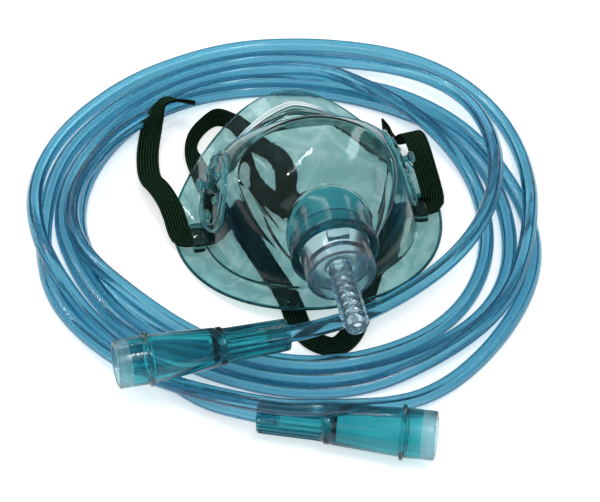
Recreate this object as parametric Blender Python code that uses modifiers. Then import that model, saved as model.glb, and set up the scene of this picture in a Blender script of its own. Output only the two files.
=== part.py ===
"""Simple oxygen face mask with its strap, swivel connector and coiled supply tubing.

The mask lies face-opening down on its cheeks. +Z is up, the nose points to +Y, the chin and
the port point to -Y, and the mask is symmetric about X = 0. Units are metres.
"""

import math
from collections import namedtuple

import bmesh
import bpy
from mathutils import Matrix, Vector

# Mask body, one soft moulding
MASK_WIDTH = 0.0950
CHEEK_Y = 0.0170
NOSE_REACH = 0.0630
CHIN_REACH = 0.0325
NOSE_LIFT = 0.0232
CHIN_LIFT = 0.0070
FLANGE_WIDTH = 0.0085
NOSE_FLANGE_WIDTH = 0.0152
CHIN_FLANGE_WIDTH = 0.0070
WALL = 0.0014
FLANGE_LIFT = 0.0002
RIDGE_WIDTH = 0.0570
RIDGE_HEIGHT = 0.0340
RIDGE_Y = 0.0215
CROWN_HEIGHT = 0.0475
RING_POINTS = 48

# Port: the round socket on the dome and the connector that turns in it
PORT_HEIGHT = 0.0300
SOCKET_DIAMETER = 0.0275
SOCKET_FRONT = 0.0276
LIP_DIAMETER = 0.0294
LIP_LENGTH = 0.0030
CONNECTOR_DIAMETER = 0.0228
CONNECTOR_FRONT = 0.0400
CONNECTOR_BACK = 0.0210
CONNECTOR_FLANGE = 0.0022
CONNECTOR_WALL = 0.0015
WEB_DEPTH = 0.0038
WEB_THICKNESS = 0.0016
NIPPLE_TIP = 0.0630
NIPPLE_DIAMETER = 0.0070
NIPPLE_BORE = 0.0040
BARB_HEIGHT = 0.0008
BARB_COUNT = 6
BARB_PITCH = 0.0033
TAB_WIDTH = 0.0070
TAB_LENGTH = 0.0042
TAB_PROUD = 0.0014
TAB_SUNK = 0.0010
RUNNING_CLEARANCE = 0.00035
SPIGOT_CLEARANCE = 0.0006

# Vent panels on the side walls
VENT_LEVEL = 4.50
VENT_ANGLE = 9.0
VENT_HALF_HEIGHT = 1.20
VENT_HALF_SPREAD = 28.0
VENT_RIM_RADIUS = 0.0007
VENT_RIM_POINTS = 26
VENT_HOLES = 6
VENT_HOLE_DIAMETER = 0.0028
VENT_HOLE_RING = 0.62
VENT_POST_DIAMETER = 0.0032
VENT_KNOB_DIAMETER = 0.0050
VENT_POST_HEIGHT = 0.0040

# Nose clip and the posts it is pressed over
CLIP_LEVEL = 2.66
CLIP_WIDTH = 0.0050
CLIP_THICKNESS = 0.0008
CLIP_STAND_OFF = 0.0008
CLIP_END_ANGLE = 25.0
POST_ANGLE = 39.0
POST_DIAMETER = 0.0034
POST_HEIGHT = 0.0050
FIT_CLEARANCE = 0.0003

# Strap lugs and the flat elastic strap
LUG_Y = 0.0130
LUG_LENGTH = 0.0120
LUG_HEIGHT = 0.0058
LUG_PROUD = 0.0034
LUG_ROOT = 0.0012
LUG_FOOT = 0.0006
STRAP_WIDTH = 0.0076
STRAP_THICKNESS = 0.0011
STRAP_HEIGHT_AT_LUG = 0.0036
SLOT_CLEARANCE = 0.0005

# Supply tube, its coil and its two end connectors
TUBE_DIAMETER = 0.0055
COIL_OUTER_CENTRE = Vector((-0.0062, 0.0215, 0.0))
COIL_OUTER = (0.0915, 0.0925)
COIL_INNER_CENTRE = Vector((-0.0080, 0.0175, 0.0))
COIL_INNER = (0.0725, 0.0690)
COIL_HEIGHT = 0.0120
END_LENGTH = 0.0560
END_COLLAR_LENGTH = 0.0215
END_COLLAR_DIAMETER = 0.0104
END_STEP_DIAMETER = 0.0122
END_FUNNEL_DIAMETER = 0.0154
END_RIDGE_DIAMETER = 0.0176
END_RIDGE_AT = 0.0455
END_MOUTH_DIAMETER = 0.0154
END_MOUTH_BORE = 0.0126
TUBE_GRIP = 0.0120
TUBE_EXIT = 0.0050

COLOURS = {
    "soft_green": (0.30, 0.60, 0.58, 0.35, 0.0),
    "clear": (0.70, 0.78, 0.82, 0.15, 0.0),
    "aluminium": (0.86, 0.85, 0.83, 0.30, 1.0),
    "elastic": (0.02, 0.06, 0.04, 0.90, 0.0),
    "blue_tube": (0.16, 0.42, 0.54, 0.20, 0.0),
    "green_end": (0.02, 0.28, 0.30, 0.25, 0.0),
}


def clear_scene():
    for item in list(bpy.data.objects):
        bpy.data.objects.remove(item, do_unlink=True)


def collection(name):
    made = bpy.data.collections.new(name)
    bpy.context.scene.collection.children.link(made)
    return made


def material(name):
    red, green, blue, rough, metal = COLOURS[name]
    made = bpy.data.materials.get(name) or bpy.data.materials.new(name)
    made.use_nodes = True
    shader = made.node_tree.nodes["Principled BSDF"]
    shader.inputs["Base Color"].default_value = (red, green, blue, 1.0)
    shader.inputs["Roughness"].default_value = rough
    shader.inputs["Metallic"].default_value = metal
    return made


def place_in(group, name, mesh, colour=None):
    """Links a new object of this mesh to a collection, with its material."""
    item = bpy.data.objects.new(name, mesh)
    group.objects.link(item)
    if colour:
        mesh.materials.append(material(colour))
    return item


def mesh_from(shape, name):
    mesh = bpy.data.meshes.new(name)
    shape.to_mesh(mesh)
    shape.free()
    return mesh


def as_tool(item):
    item.hide_render = True
    item.display_type = "WIRE"
    return item


def combine(target, tool, operation):
    step = target.modifiers.new(operation.lower() + "_" + tool.name, "BOOLEAN")
    step.operation = operation
    step.object = tool


def evaluated_mesh(item, name):
    """A welded mesh of a curve or of an object with modifiers, in its own space."""
    graph = bpy.context.evaluated_depsgraph_get()
    mesh = bpy.data.meshes.new_from_object(item.evaluated_get(graph))
    mesh.name = name
    shape = bmesh.new()
    shape.from_mesh(mesh)
    bmesh.ops.remove_doubles(shape, verts=shape.verts, dist=0.00001)
    shape.to_mesh(mesh)
    shape.free()
    return mesh


def smooth_route(points, spacing):
    """Points at about this spacing on a smooth curve through points of three or more values."""
    ends = [2 * points[0] - points[1]] + list(points) + [2 * points[-1] - points[-2]]
    route = []
    for before, start, stop, after in zip(ends, ends[1:], ends[2:], ends[3:]):
        count = max(1, round((stop - start).to_3d().length / spacing))
        route += [spline_value(before, start, stop, after, step / count) for step in range(count)]
    return route + [points[-1]]


def spline_value(before, start, stop, after, t):
    return 0.5 * (2 * start + (stop - before) * t + (2 * before - 5 * start + 4 * stop - after) * t * t
                  + (3 * start - before - 3 * stop + after) * t * t * t)


def tube_mesh(name, route, radius, cyclic=False, resolution=2):
    """A round tube along the route, as a welded mesh."""
    curve = bpy.data.curves.new(name, "CURVE")
    curve.dimensions = "3D"
    curve.bevel_depth = radius
    curve.bevel_resolution = resolution
    curve.use_fill_caps = not cyclic
    line = curve.splines.new("POLY")
    line.points.add(len(route) - 1)
    for point, place in zip(line.points, route):
        point.co = (*place, 1.0)
    line.use_cyclic_u = cyclic
    item = bpy.data.objects.new(name, curve)
    bpy.context.scene.collection.objects.link(item)
    mesh = evaluated_mesh(item, name)
    bpy.data.objects.remove(item, do_unlink=True)
    bpy.data.curves.remove(curve)
    return mesh


def turned_mesh(name, profile, steps, origin, direction):
    """A closed profile of (radius, distance along the axis), turned round an axis."""
    shape = bmesh.new()
    corners = [shape.verts.new((radius, 0.0, along)) for radius, along in profile]
    for start, stop in zip(corners, corners[1:] + corners[:1]):
        shape.edges.new((start, stop))
    item = bpy.data.objects.new(name, mesh_from(shape, name))
    bpy.context.scene.collection.objects.link(item)
    turn = item.modifiers.new("turn", "SCREW")
    turn.steps = steps
    turn.render_steps = steps
    turn.use_merge_vertices = True
    turn.merge_threshold = 0.00001
    mesh = evaluated_mesh(item, name)
    bpy.data.objects.remove(item, do_unlink=True)
    shape = bmesh.new()
    shape.from_mesh(mesh)
    bmesh.ops.recalc_face_normals(shape, faces=shape.faces)
    shape.to_mesh(mesh)
    shape.free()
    mesh.transform(Vector(direction).to_track_quat("Z", "Y").to_matrix().to_4x4())
    mesh.transform(Matrix.Translation(origin))
    return mesh


# The body is a loft through unlike rings. Each ring is drawn by its half width, where it is
# widest, how far it reaches to nose and chin, its three heights, the roundness of its two
# ends (2 is an ellipse, less is more pointed) and how late its height rises towards them.
Ring = namedtuple("Ring", "half_width widest_y nose_y chin_y side_z nose_z chin_z "
                          "nose_round chin_round nose_rise chin_rise steps")


def body_rings():
    half = MASK_WIDTH / 2
    crease = half - FLANGE_WIDTH
    crease_nose = NOSE_REACH - NOSE_FLANGE_WIDTH
    crease_chin = CHIN_FLANGE_WIDTH - CHIN_REACH
    chin_top = CHIN_LIFT + WALL
    cheek = WALL + FLANGE_LIFT
    ridge = RIDGE_WIDTH / 2
    socket = SOCKET_DIAMETER / 2
    low, high = PORT_HEIGHT - socket, PORT_HEIGHT + socket
    front = -SOCKET_FRONT
    return [
        # The flange's outer edge, its crease and the foot of the wall.
        Ring(half, CHEEK_Y, NOSE_REACH, -CHIN_REACH, cheek, NOSE_LIFT, chin_top, 2.0, 1.95, 3.8, 2.2, 3),
        Ring(crease, CHEEK_Y, crease_nose, crease_chin, cheek, NOSE_LIFT + 0.0025,
             chin_top + 0.0006, 1.75, 2.0, 1.9, 2.2, 1),
        Ring(crease - 0.0004, CHEEK_Y, crease_nose - 0.0008, crease_chin + 0.0003, 0.0036,
             NOSE_LIFT + 0.0037, chin_top + 0.0016, 1.65, 2.05, 1.5, 2.2, 2),
        # The band that carries the clip, the shelf behind it, and the side wall.
        Ring(crease - 0.0012, CHEEK_Y, crease_nose - 0.0048, crease_chin + 0.0006, 0.0092,
             NOSE_LIFT + 0.0077, chin_top + 0.0028, 1.55, 2.1, 1.0, 2.3, 2),
        Ring(crease - 0.0025, CHEEK_Y - 0.0010, RIDGE_Y + 0.0125, crease_chin + 0.0008, 0.0152,
             NOSE_LIFT + 0.0080, chin_top + 0.0038, 2.5, 2.1, 1.1, 2.6, 2),
        Ring(crease - 0.0055, CHEEK_Y - 0.0025, RIDGE_Y + 0.0070, crease_chin + 0.0010, 0.0235,
             CROWN_HEIGHT - 0.0085, chin_top + 0.0048, 2.4, 2.1, 1.2, 2.9, 3),
        # The rounded ridge, the crown and the brow over the socket.
        Ring(ridge, CHEEK_Y - 0.0080, RIDGE_Y, crease_chin + 0.0012, RIDGE_HEIGHT,
             CROWN_HEIGHT - 0.0018, chin_top + 0.0058, 2.0, 2.1, 1.3, 3.0, 2),
        Ring(ridge - 0.0045, CHEEK_Y - 0.0110, RIDGE_Y - 0.0050, crease_chin + 0.0008,
             RIDGE_HEIGHT + 0.0042, CROWN_HEIGHT, chin_top + 0.0066, 2.0, 2.1, 1.4, 2.8, 2),
        Ring(ridge - 0.0085, -0.0070, -0.0040, crease_chin, RIDGE_HEIGHT + 0.0042,
             CROWN_HEIGHT - 0.0002, low - 0.0006, 2.0, 2.05, 1.3, 2.2, 2),
        # The steep neck, and the socket from its root to its end.
        Ring(socket + 0.0024, -0.0175, -0.0126, -0.0264, PORT_HEIGHT + 0.0014,
             high + 0.0022, low - 0.0002, 2.0, 2.0, 1.1, 1.3, 2),
        Ring(socket, front + 0.0068, front + 0.0130, front + 0.0010, PORT_HEIGHT, high, low,
             2.0, 2.0, 1.0, 1.0, 1),
        Ring(socket, front, front, front, PORT_HEIGHT, high, low, 2.0, 2.0, 1.0, 1.0, 1),
    ]


def ring_at(rings, level):
    """The ring at a level between two of the drawn ones, on a smooth curve through them."""
    last = len(rings) - 1
    base = min(int(level), last - 1)
    around = [rings[min(max(base + step, 0), last)] for step in (-1, 0, 1, 2)]
    return Ring(*(spline_value(*values, level - base) for values in zip(*around)))


def ring_point(ring, angle):
    across, along = math.cos(angle), math.sin(angle)
    to_nose = along >= 0
    power = 2 / (ring.nose_round if to_nose else ring.chin_round)
    reach = abs(along) ** power
    end_y, end_z, rise = ((ring.nose_y, ring.nose_z, ring.nose_rise) if to_nose
                          else (ring.chin_y, ring.chin_z, ring.chin_rise))
    return Vector((ring.half_width * math.copysign(abs(across) ** power, across),
                   ring.widest_y + (end_y - ring.widest_y) * reach,
                   ring.side_z + (end_z - ring.side_z) * reach ** rise))


def skin_point(angle, level):
    return ring_point(ring_at(body_rings(), level), angle)


def skin_frame(angle, level):
    """A point on the mask's outer skin, with the directions round it, up it and out of it."""
    step = 0.01
    point = skin_point(angle, level)
    round_it = (skin_point(angle + step, level) - skin_point(angle - step, level)).normalized()
    up_it = (skin_point(angle, level + step) - skin_point(angle, level - step)).normalized()
    out = round_it.cross(up_it).normalized()
    return point, round_it, out.cross(round_it), out


def side_angle(side, degrees):
    """An angle measured from the cheek on this side, 1 for +X and -1 for -X."""
    return math.radians(degrees if side > 0 else 180 - degrees)


def skin_mesh():
    rings = body_rings()
    levels = [base + step / rings[base].steps
              for base in range(len(rings) - 1) for step in range(rings[base].steps)]
    shape = bmesh.new()
    grid = []
    for level in levels + [len(rings) - 1]:
        ring = ring_at(rings, level)
        grid.append([shape.verts.new(ring_point(ring, math.tau * step / RING_POINTS))
                     for step in range(RING_POINTS)])
    for lower, upper in zip(grid, grid[1:]):
        for index in range(RING_POINTS):
            after = (index + 1) % RING_POINTS
            shape.faces.new((lower[index], lower[after], upper[after], upper[index]))
    return mesh_from(shape, "mask_shell")


def vent_frame(side, turn, size=1.0):
    """A place on the vent panel's oval: turn runs round it, size is 1 at its rim."""
    degrees = VENT_ANGLE + VENT_HALF_SPREAD * size * math.cos(turn)
    level = VENT_LEVEL + VENT_HALF_HEIGHT * size * math.sin(turn)
    return skin_frame(side_angle(side, degrees), level)


def vent_rim_mesh(side):
    route = []
    for step in range(VENT_RIM_POINTS):
        point, _, _, out = vent_frame(side, math.tau * step / VENT_RIM_POINTS)
        route.append(point + out * VENT_RIM_RADIUS * 0.4)
    return tube_mesh("vent_rim", route, VENT_RIM_RADIUS, cyclic=True, resolution=1)


def knobbed_post_mesh(point, out, stem, knob, height):
    """A moulded post with a wider domed end, rooted in the wall."""
    root = -WALL / 2
    profile = [(0, root), (stem, root), (stem, height * 0.45), (knob, height * 0.55),
               (knob, height * 0.85), (knob * 0.6, height), (0, height)]
    return turned_mesh("post", profile, 12, point, out)


def lug_mesh(side):
    wall_foot = MASK_WIDTH / 2 - FLANGE_WIDTH
    depth = LUG_PROUD + LUG_ROOT
    shape = bmesh.new()
    bmesh.ops.create_cube(shape, size=1.0)
    bmesh.ops.scale(shape, verts=shape.verts, vec=(depth, LUG_LENGTH, LUG_HEIGHT))
    bmesh.ops.bevel(shape, geom=shape.edges[:], offset=0.0009, segments=2, profile=0.5,
                    affect="EDGES", material=-1)
    centre = (side * (wall_foot + LUG_PROUD - depth / 2), LUG_Y, LUG_FOOT + LUG_HEIGHT / 2)
    bmesh.ops.translate(shape, verts=shape.verts, vec=centre)
    return mesh_from(shape, "lug")


def slot_mesh(side):
    shape = bmesh.new()
    bmesh.ops.create_cube(shape, size=1.0)
    width = STRAP_WIDTH + 2 * SLOT_CLEARANCE
    height = STRAP_THICKNESS + 2 * SLOT_CLEARANCE
    bmesh.ops.scale(shape, verts=shape.verts, vec=(0.0140, width, height))
    centre = (side * (MASK_WIDTH / 2 - FLANGE_WIDTH), LUG_Y, STRAP_HEIGHT_AT_LUG)
    bmesh.ops.translate(shape, verts=shape.verts, vec=centre)
    return mesh_from(shape, "slot")


def hole_mesh(point, out, diameter, depth=0.0080):
    profile = [(0, -depth / 2), (diameter / 2, -depth / 2), (diameter / 2, depth / 2), (0, depth / 2)]
    return turned_mesh("hole", profile, 12, point, out)


def lip_mesh():
    """The socket's thick end ring, whose bore keeps the connector in."""
    inner = CONNECTOR_DIAMETER / 2 + RUNNING_CLEARANCE
    outer = LIP_DIAMETER / 2
    ease = 0.0007
    back, front = SOCKET_FRONT - 0.0004, SOCKET_FRONT - 0.0004 + LIP_LENGTH
    profile = [(inner, back), (inner, front - ease), (inner + ease, front), (outer - ease, front),
               (outer, front - ease), (outer, back + ease), (outer - ease, back)]
    return turned_mesh("lip", profile, RING_POINTS, (0, 0, PORT_HEIGHT), (0, -1, 0))


def join_meshes(name, meshes):
    shape = bmesh.new()
    for mesh in meshes:
        shape.from_mesh(mesh)
    return mesh_from(shape, name)


def make_mask_shell(parts, tools):
    shell = place_in(parts, "mask_shell", skin_mesh(), "soft_green")
    thick = shell.modifiers.new("wall", "SOLIDIFY")
    thick.thickness = WALL
    thick.offset = -1
    added, opened = [lip_mesh()], []
    for side in (1, -1):
        point, _, _, out = vent_frame(side, 0, 0)
        added.append(vent_rim_mesh(side))
        added.append(knobbed_post_mesh(point, out, VENT_POST_DIAMETER / 2,
                                       VENT_KNOB_DIAMETER / 2, VENT_POST_HEIGHT))
        for step in range(VENT_HOLES):
            turn = math.tau * (step + 0.5) / VENT_HOLES
            point, _, _, out = vent_frame(side, turn, VENT_HOLE_RING)
            opened.append(hole_mesh(point, out, VENT_HOLE_DIAMETER))
        point, _, _, out = skin_frame(side_angle(side, POST_ANGLE), CLIP_LEVEL)
        added.append(knobbed_post_mesh(point, out, POST_DIAMETER / 2, POST_DIAMETER / 2, POST_HEIGHT))
        added.append(lug_mesh(side))
        opened.append(slot_mesh(side))
    combine(shell, as_tool(place_in(tools, "features", join_meshes("features", added))), "UNION")
    combine(shell, as_tool(place_in(tools, "openings", join_meshes("openings", opened))), "DIFFERENCE")
    return shell


def make_nose_clip(parts, tools):
    """A flat strip that follows the nose band, with rounded ends and a hole for each post."""
    reach = math.radians(90 - CLIP_END_ANGLE)
    count = 36
    shape = bmesh.new()
    rows = []
    for step in range(count + 1):
        share = 2 * step / count - 1
        point, _, up, out = skin_frame(math.pi / 2 - share * reach, CLIP_LEVEL)
        to_end = (1 - abs(share)) * count / 2
        width = CLIP_WIDTH / 2 * math.sqrt(1 - max(0.0, 1 - to_end / 2.2) ** 2 * 0.8)
        middle = point + out * CLIP_STAND_OFF
        rows.append([shape.verts.new(middle + up * width * edge) for edge in (-1, 1)])
    for start, stop in zip(rows, rows[1:]):
        shape.faces.new((start[0], start[1], stop[1], stop[0]))
    clip = place_in(parts, "nose_clip", mesh_from(shape, "nose_clip"), "aluminium")
    thick = clip.modifiers.new("sheet", "SOLIDIFY")
    thick.thickness = CLIP_THICKNESS
    thick.offset = 1
    cuts = []
    for side in (1, -1):
        point, _, _, out = skin_frame(side_angle(side, POST_ANGLE), CLIP_LEVEL)
        cuts.append(hole_mesh(point, out, POST_DIAMETER + 2 * FIT_CLEARANCE))
    combine(clip, as_tool(place_in(tools, "clip_holes", join_meshes("clip_holes", cuts))), "DIFFERENCE")
    return clip


def make_swivel_connector(parts, tools):
    """A clear cup with a recessed web and a barbed nipple, turned round the port's axis."""
    outer = CONNECTOR_DIAMETER / 2
    spigot = SOCKET_DIAMETER / 2 - WALL - SPIGOT_CLEARANCE
    shoulder = SOCKET_FRONT - 0.0004 - RUNNING_CLEARANCE
    inner = outer - CONNECTOR_WALL
    bore = NIPPLE_BORE / 2
    stem = NIPPLE_DIAMETER / 2
    web_front = CONNECTOR_FRONT - WEB_DEPTH
    web_back = web_front - WEB_THICKNESS
    ease = 0.0005
    profile = [(bore, web_back), (inner, web_back), (inner, CONNECTOR_BACK), (outer, CONNECTOR_BACK),
               (outer, shoulder - CONNECTOR_FLANGE), (spigot, shoulder - CONNECTOR_FLANGE),
               (spigot, shoulder), (outer, shoulder), (outer, CONNECTOR_FRONT - ease),
               (outer - ease, CONNECTOR_FRONT), (inner, CONNECTOR_FRONT), (inner, web_front),
               (stem + 0.0014, web_front), (stem, web_front + 0.0035)]
    first = NIPPLE_TIP - 0.0016 - BARB_COUNT * BARB_PITCH
    for index in range(BARB_COUNT):
        start = first + index * BARB_PITCH
        profile += [(stem, start), (stem + BARB_HEIGHT, start + BARB_PITCH * 0.45),
                    (stem + BARB_HEIGHT, start + BARB_PITCH * 0.70)]
    profile += [(stem, NIPPLE_TIP - 0.0014), (stem - 0.0002, NIPPLE_TIP), (bore, NIPPLE_TIP)]
    mesh = turned_mesh("swivel_connector", profile, 32, (0, 0, 0), (0, -1, 0))
    connector = place_in(parts, "swivel_connector", mesh, "clear")
    connector.location.z = PORT_HEIGHT
    shape = bmesh.new()
    bmesh.ops.create_cube(shape, size=1.0)
    bmesh.ops.scale(shape, verts=shape.verts, vec=(TAB_WIDTH, TAB_LENGTH, TAB_PROUD + TAB_SUNK))
    bmesh.ops.bevel(shape, geom=shape.edges[:], offset=0.0004, segments=1, profile=0.5,
                    affect="EDGES", material=-1)
    tab_y = -(SOCKET_FRONT - 0.0004 + LIP_LENGTH + FIT_CLEARANCE + TAB_LENGTH / 2)
    tab = as_tool(place_in(tools, "snap_tab", mesh_from(shape, "snap_tab")))
    tab.location = (0, tab_y, PORT_HEIGHT + outer + (TAB_PROUD - TAB_SUNK) / 2)
    combine(connector, tab, "UNION")
    return connector


# The strap's route: place of its middle line, and lean, the angle that its width makes with
# the table: 0 lies flat, 90 stands on edge.
STRAP_ROUTE = [
    (-0.0315, 0.0724, 0.0142, 70), (-0.0362, 0.0728, 0.0156, 55), (-0.0411, 0.0745, 0.0162, 30),
    (-0.0452, 0.0723, 0.0140, 12), (-0.0485, 0.0697, 0.0085, 0), (-0.0508, 0.0655, 0.0036, 0),
    (-0.0520, 0.0568, 0.0015, 0), (-0.0517, 0.0466, 0.0016, 0), (-0.0490, 0.0355, 0.0044, 0),
    (-0.0468, 0.0268, 0.0078, 0), (-0.0466, 0.0200, 0.0080, 0), (-0.0474, 0.0156, 0.0062, 0),
    (-0.0455, 0.0132, 0.0044, 0), (-0.0425, 0.0130, 0.0037, 0), (-0.0385, 0.0130, 0.0036, 0),
    (-0.0345, 0.0132, 0.0036, 0), (-0.0296, 0.0215, 0.0028, 15), (-0.0304, 0.0310, 0.0015, 6),
    (-0.0324, 0.0429, 0.0013, 5), (-0.0346, 0.0535, 0.0028, 25), (-0.0345, 0.0620, 0.0043, 70),
    (-0.0301, 0.0698, 0.0042, 88), (-0.0235, 0.0747, 0.0042, 88), (-0.0176, 0.0705, 0.0042, 80),
    (-0.0133, 0.0634, 0.0034, 45), (-0.0089, 0.0578, 0.0014, 5), (-0.0046, 0.0532, 0.0010, 0),
    (-0.0028, 0.0441, 0.0010, 0), (-0.0045, 0.0351, 0.0010, 0), (-0.0042, 0.0271, 0.0010, 0),
    (-0.0034, 0.0206, 0.0014, 0), (-0.0047, 0.0181, 0.0030, 0), (-0.0074, 0.0202, 0.0042, 0),
    (-0.0108, 0.0263, 0.0036, 0), (-0.0135, 0.0354, 0.0038, 40), (-0.0138, 0.0444, 0.0042, 80),
    (-0.0151, 0.0514, 0.0042, 88), (-0.0181, 0.0515, 0.0042, 88), (-0.0203, 0.0446, 0.0042, 88),
    (-0.0221, 0.0346, 0.0042, 80), (-0.0235, 0.0246, 0.0034, 40), (-0.0226, 0.0156, 0.0014, 5),
    (-0.0194, 0.0025, 0.0010, 0), (-0.0162, -0.0096, 0.0010, 0), (-0.0135, -0.0216, 0.0010, 0),
    (-0.0123, -0.0327, 0.0010, 0), (-0.0088, -0.0403, 0.0010, 0), (-0.0029, -0.0439, 0.0010, 0),
    (0.0028, -0.0406, 0.0010, 0), (0.0081, -0.0320, 0.0010, 0), (0.0125, -0.0215, 0.0010, 0),
    (0.0174, -0.0122, 0.0010, 0), (0.0235, -0.0055, 0.0010, 0), (0.0283, 0.0060, 0.0014, 0),
    (0.0308, 0.0112, 0.0027, 0), (0.0345, 0.0130, 0.0036, 0), (0.0385, 0.0130, 0.0036, 0),
    (0.0425, 0.0130, 0.0037, 0), (0.0455, 0.0132, 0.0044, 0), (0.0474, 0.0156, 0.0064, 0),
    (0.0464, 0.0195, 0.0094, 0), (0.0448, 0.0240, 0.0128, 0), (0.0434, 0.0285, 0.0154, 0),
    (0.0430, 0.0330, 0.0166, 0), (0.0429, 0.0374, 0.0154, 0), (0.0422, 0.0445, 0.0114, 5),
    (0.0408, 0.0475, 0.0076, 20), (0.0401, 0.0487, 0.0052, 55), (0.0386, 0.0519, 0.0042, 85),
    (0.0371, 0.0588, 0.0042, 88),
]


def make_head_strap(parts):
    """A flat band swept along its route, turning its width over as it leans."""
    samples = smooth_route([Vector(knot) for knot in STRAP_ROUTE], 0.0035)
    route = [sample.to_3d() for sample in samples]
    leans = [math.radians(sample.w) for sample in samples]
    shape = bmesh.new()
    rows = []
    across = None
    for index, (place, lean) in enumerate(zip(route, leans)):
        ahead = (route[min(index + 1, len(route) - 1)] - route[max(index - 1, 0)]).normalized()
        flat = Vector((-ahead.y, ahead.x, 0.0)).normalized()
        if across and flat.dot(across) < 0:
            flat.negate()
        across = flat
        width = flat * math.cos(lean) + Vector((0, 0, 1)) * math.sin(lean)
        width = (width - ahead * width.dot(ahead)).normalized() * STRAP_WIDTH / 2
        depth = ahead.cross(width).normalized() * STRAP_THICKNESS / 2
        rows.append([shape.verts.new(place + width * a + depth * b)
                     for a, b in ((1, 1), (-1, 1), (-1, -1), (1, -1))])
    for start, stop in zip(rows, rows[1:]):
        for index in range(4):
            after = (index + 1) % 4
            shape.faces.new((start[index], start[after], stop[after], stop[index]))
    shape.faces.new(rows[0])
    shape.faces.new(rows[-1])
    bmesh.ops.recalc_face_normals(shape, faces=shape.faces)
    return place_in(parts, "head_strap", mesh_from(shape, "head_strap"), "elastic")


# Where the two tube connectors lie: the middle of the narrow end and of the mouth.
FRONT_END = (Vector((-0.0198, -0.0508, 0.0180)), Vector((-0.0750, -0.0560, 0.0212)))
REAR_END = (Vector((-0.0335, -0.0738, 0.0075)), Vector((0.0185, -0.0937, 0.0098)))


def end_profile():
    """Half of the funnel connector: the tube's collar, the funnel, its ridge and its mouth."""
    collar = END_COLLAR_DIAMETER / 2
    step = END_STEP_DIAMETER / 2
    funnel = END_FUNNEL_DIAMETER / 2
    ridge = END_RIDGE_DIAMETER / 2
    mouth = END_MOUTH_DIAMETER / 2
    tube_bore = TUBE_DIAMETER / 2 + FIT_CLEARANCE
    mouth_bore = END_MOUTH_BORE / 2
    edge = 0.0006
    return [(tube_bore, 0), (collar - edge, 0), (collar, edge), (step - 0.0004, END_COLLAR_LENGTH - 0.0015),
            (step, END_COLLAR_LENGTH), (step, END_COLLAR_LENGTH + 0.0016),
            (funnel, END_RIDGE_AT - 0.0016), (ridge, END_RIDGE_AT), (mouth + 0.0002, END_RIDGE_AT + 0.0016),
            (mouth, END_LENGTH - edge), (mouth - edge, END_LENGTH), (mouth_bore, END_LENGTH),
            (mouth_bore - 0.0004, END_RIDGE_AT - 0.0050), (tube_bore + 0.0012, END_COLLAR_LENGTH + 0.0040),
            (TUBE_DIAMETER / 2 - 0.0006, END_COLLAR_LENGTH + 0.0020),
            (TUBE_DIAMETER / 2 - 0.0006, END_COLLAR_LENGTH), (tube_bore, END_COLLAR_LENGTH)]


def make_tube_end(parts, name, ends):
    narrow, wide = ends
    mesh = turned_mesh(name, end_profile(), 20, narrow, wide - narrow)
    return place_in(parts, name, mesh, "green_end")


def oval_point(centre, half_sizes, turn):
    return centre + Vector((half_sizes[0] * math.cos(turn), half_sizes[1] * math.sin(turn), 0))


def make_coil(parts):
    """The closed outer shape of the coiled turns: an oval ring with rounded edges."""
    profile_points = 10
    shape = bmesh.new()
    rows = []
    count = 48
    for step in range(count):
        turn = math.tau * step / count
        outer = oval_point(COIL_OUTER_CENTRE, COIL_OUTER, turn)
        inner = oval_point(COIL_INNER_CENTRE, COIL_INNER, turn)
        middle = (outer + inner) / 2
        half = (outer - inner) / 2
        row = []
        for corner in range(profile_points):
            around = math.tau * corner / profile_points
            sideways = math.copysign(abs(math.cos(around)) ** 0.5, math.cos(around))
            height = math.copysign(abs(math.sin(around)) ** 0.6, math.sin(around))
            row.append(shape.verts.new(middle + half * sideways
                                       + Vector((0, 0, COIL_HEIGHT / 2 * (1 + height)))))
        rows.append(row)
    for start, stop in zip(rows, rows[1:] + rows[:1]):
        for index in range(profile_points):
            after = (index + 1) % profile_points
            shape.faces.new((start[index], start[after], stop[after], stop[index]))
    bmesh.ops.recalc_face_normals(shape, faces=shape.faces)
    return place_in(parts, "oxygen_tube_coil", mesh_from(shape, "oxygen_tube_coil"), "blue_tube")


def make_tube_lead(parts, name, ends, points):
    """One uncoiled stretch of the tube, seated in its connector's collar."""
    narrow, wide = ends
    inward = (wide - narrow).normalized()
    seat = [narrow + inward * along for along in (TUBE_GRIP, TUBE_GRIP / 2, 0.0, -TUBE_EXIT)]
    route = smooth_route(seat + points, 0.006)
    return place_in(parts, name, tube_mesh(name, route, TUBE_DIAMETER / 2, resolution=3), "blue_tube")


ON_COIL = COIL_HEIGHT + TUBE_DIAMETER / 2 + FIT_CLEARANCE
FRONT_LEAD = [Vector(point) for point in (
    (-0.0070, -0.0478, 0.0154), (0.0020, -0.0438, 0.0125), (0.0120, -0.0388, 0.0105),
    (0.0242, -0.0326, 0.0115), (0.0354, -0.0272, 0.0145), (0.0445, -0.0210, ON_COIL + 0.0006),
    (0.0535, -0.0120, ON_COIL), (0.0615, 0.0000, ON_COIL), (0.0680, 0.0165, ON_COIL),
    (0.0712, 0.0330, ON_COIL), (0.0702, 0.0500, ON_COIL))]
REAR_LEAD = [Vector(point) for point in (
    (-0.0440, -0.0682, 0.0060), (-0.0500, -0.0639, 0.0040), (-0.0560, -0.0596, 0.0034))]


def main():
    clear_scene()
    parts = collection("oxygen_face_mask")
    tools = collection("cutters")
    make_mask_shell(parts, tools)
    make_nose_clip(parts, tools)
    make_swivel_connector(parts, tools)
    make_head_strap(parts)
    make_tube_end(parts, "tube_connector_front", FRONT_END)
    make_tube_end(parts, "tube_connector_rear", REAR_END)
    make_coil(parts)
    make_tube_lead(parts, "oxygen_tube_lead_front", FRONT_END, FRONT_LEAD)
    make_tube_lead(parts, "oxygen_tube_lead_rear", REAR_END, REAR_LEAD)


main()
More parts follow.
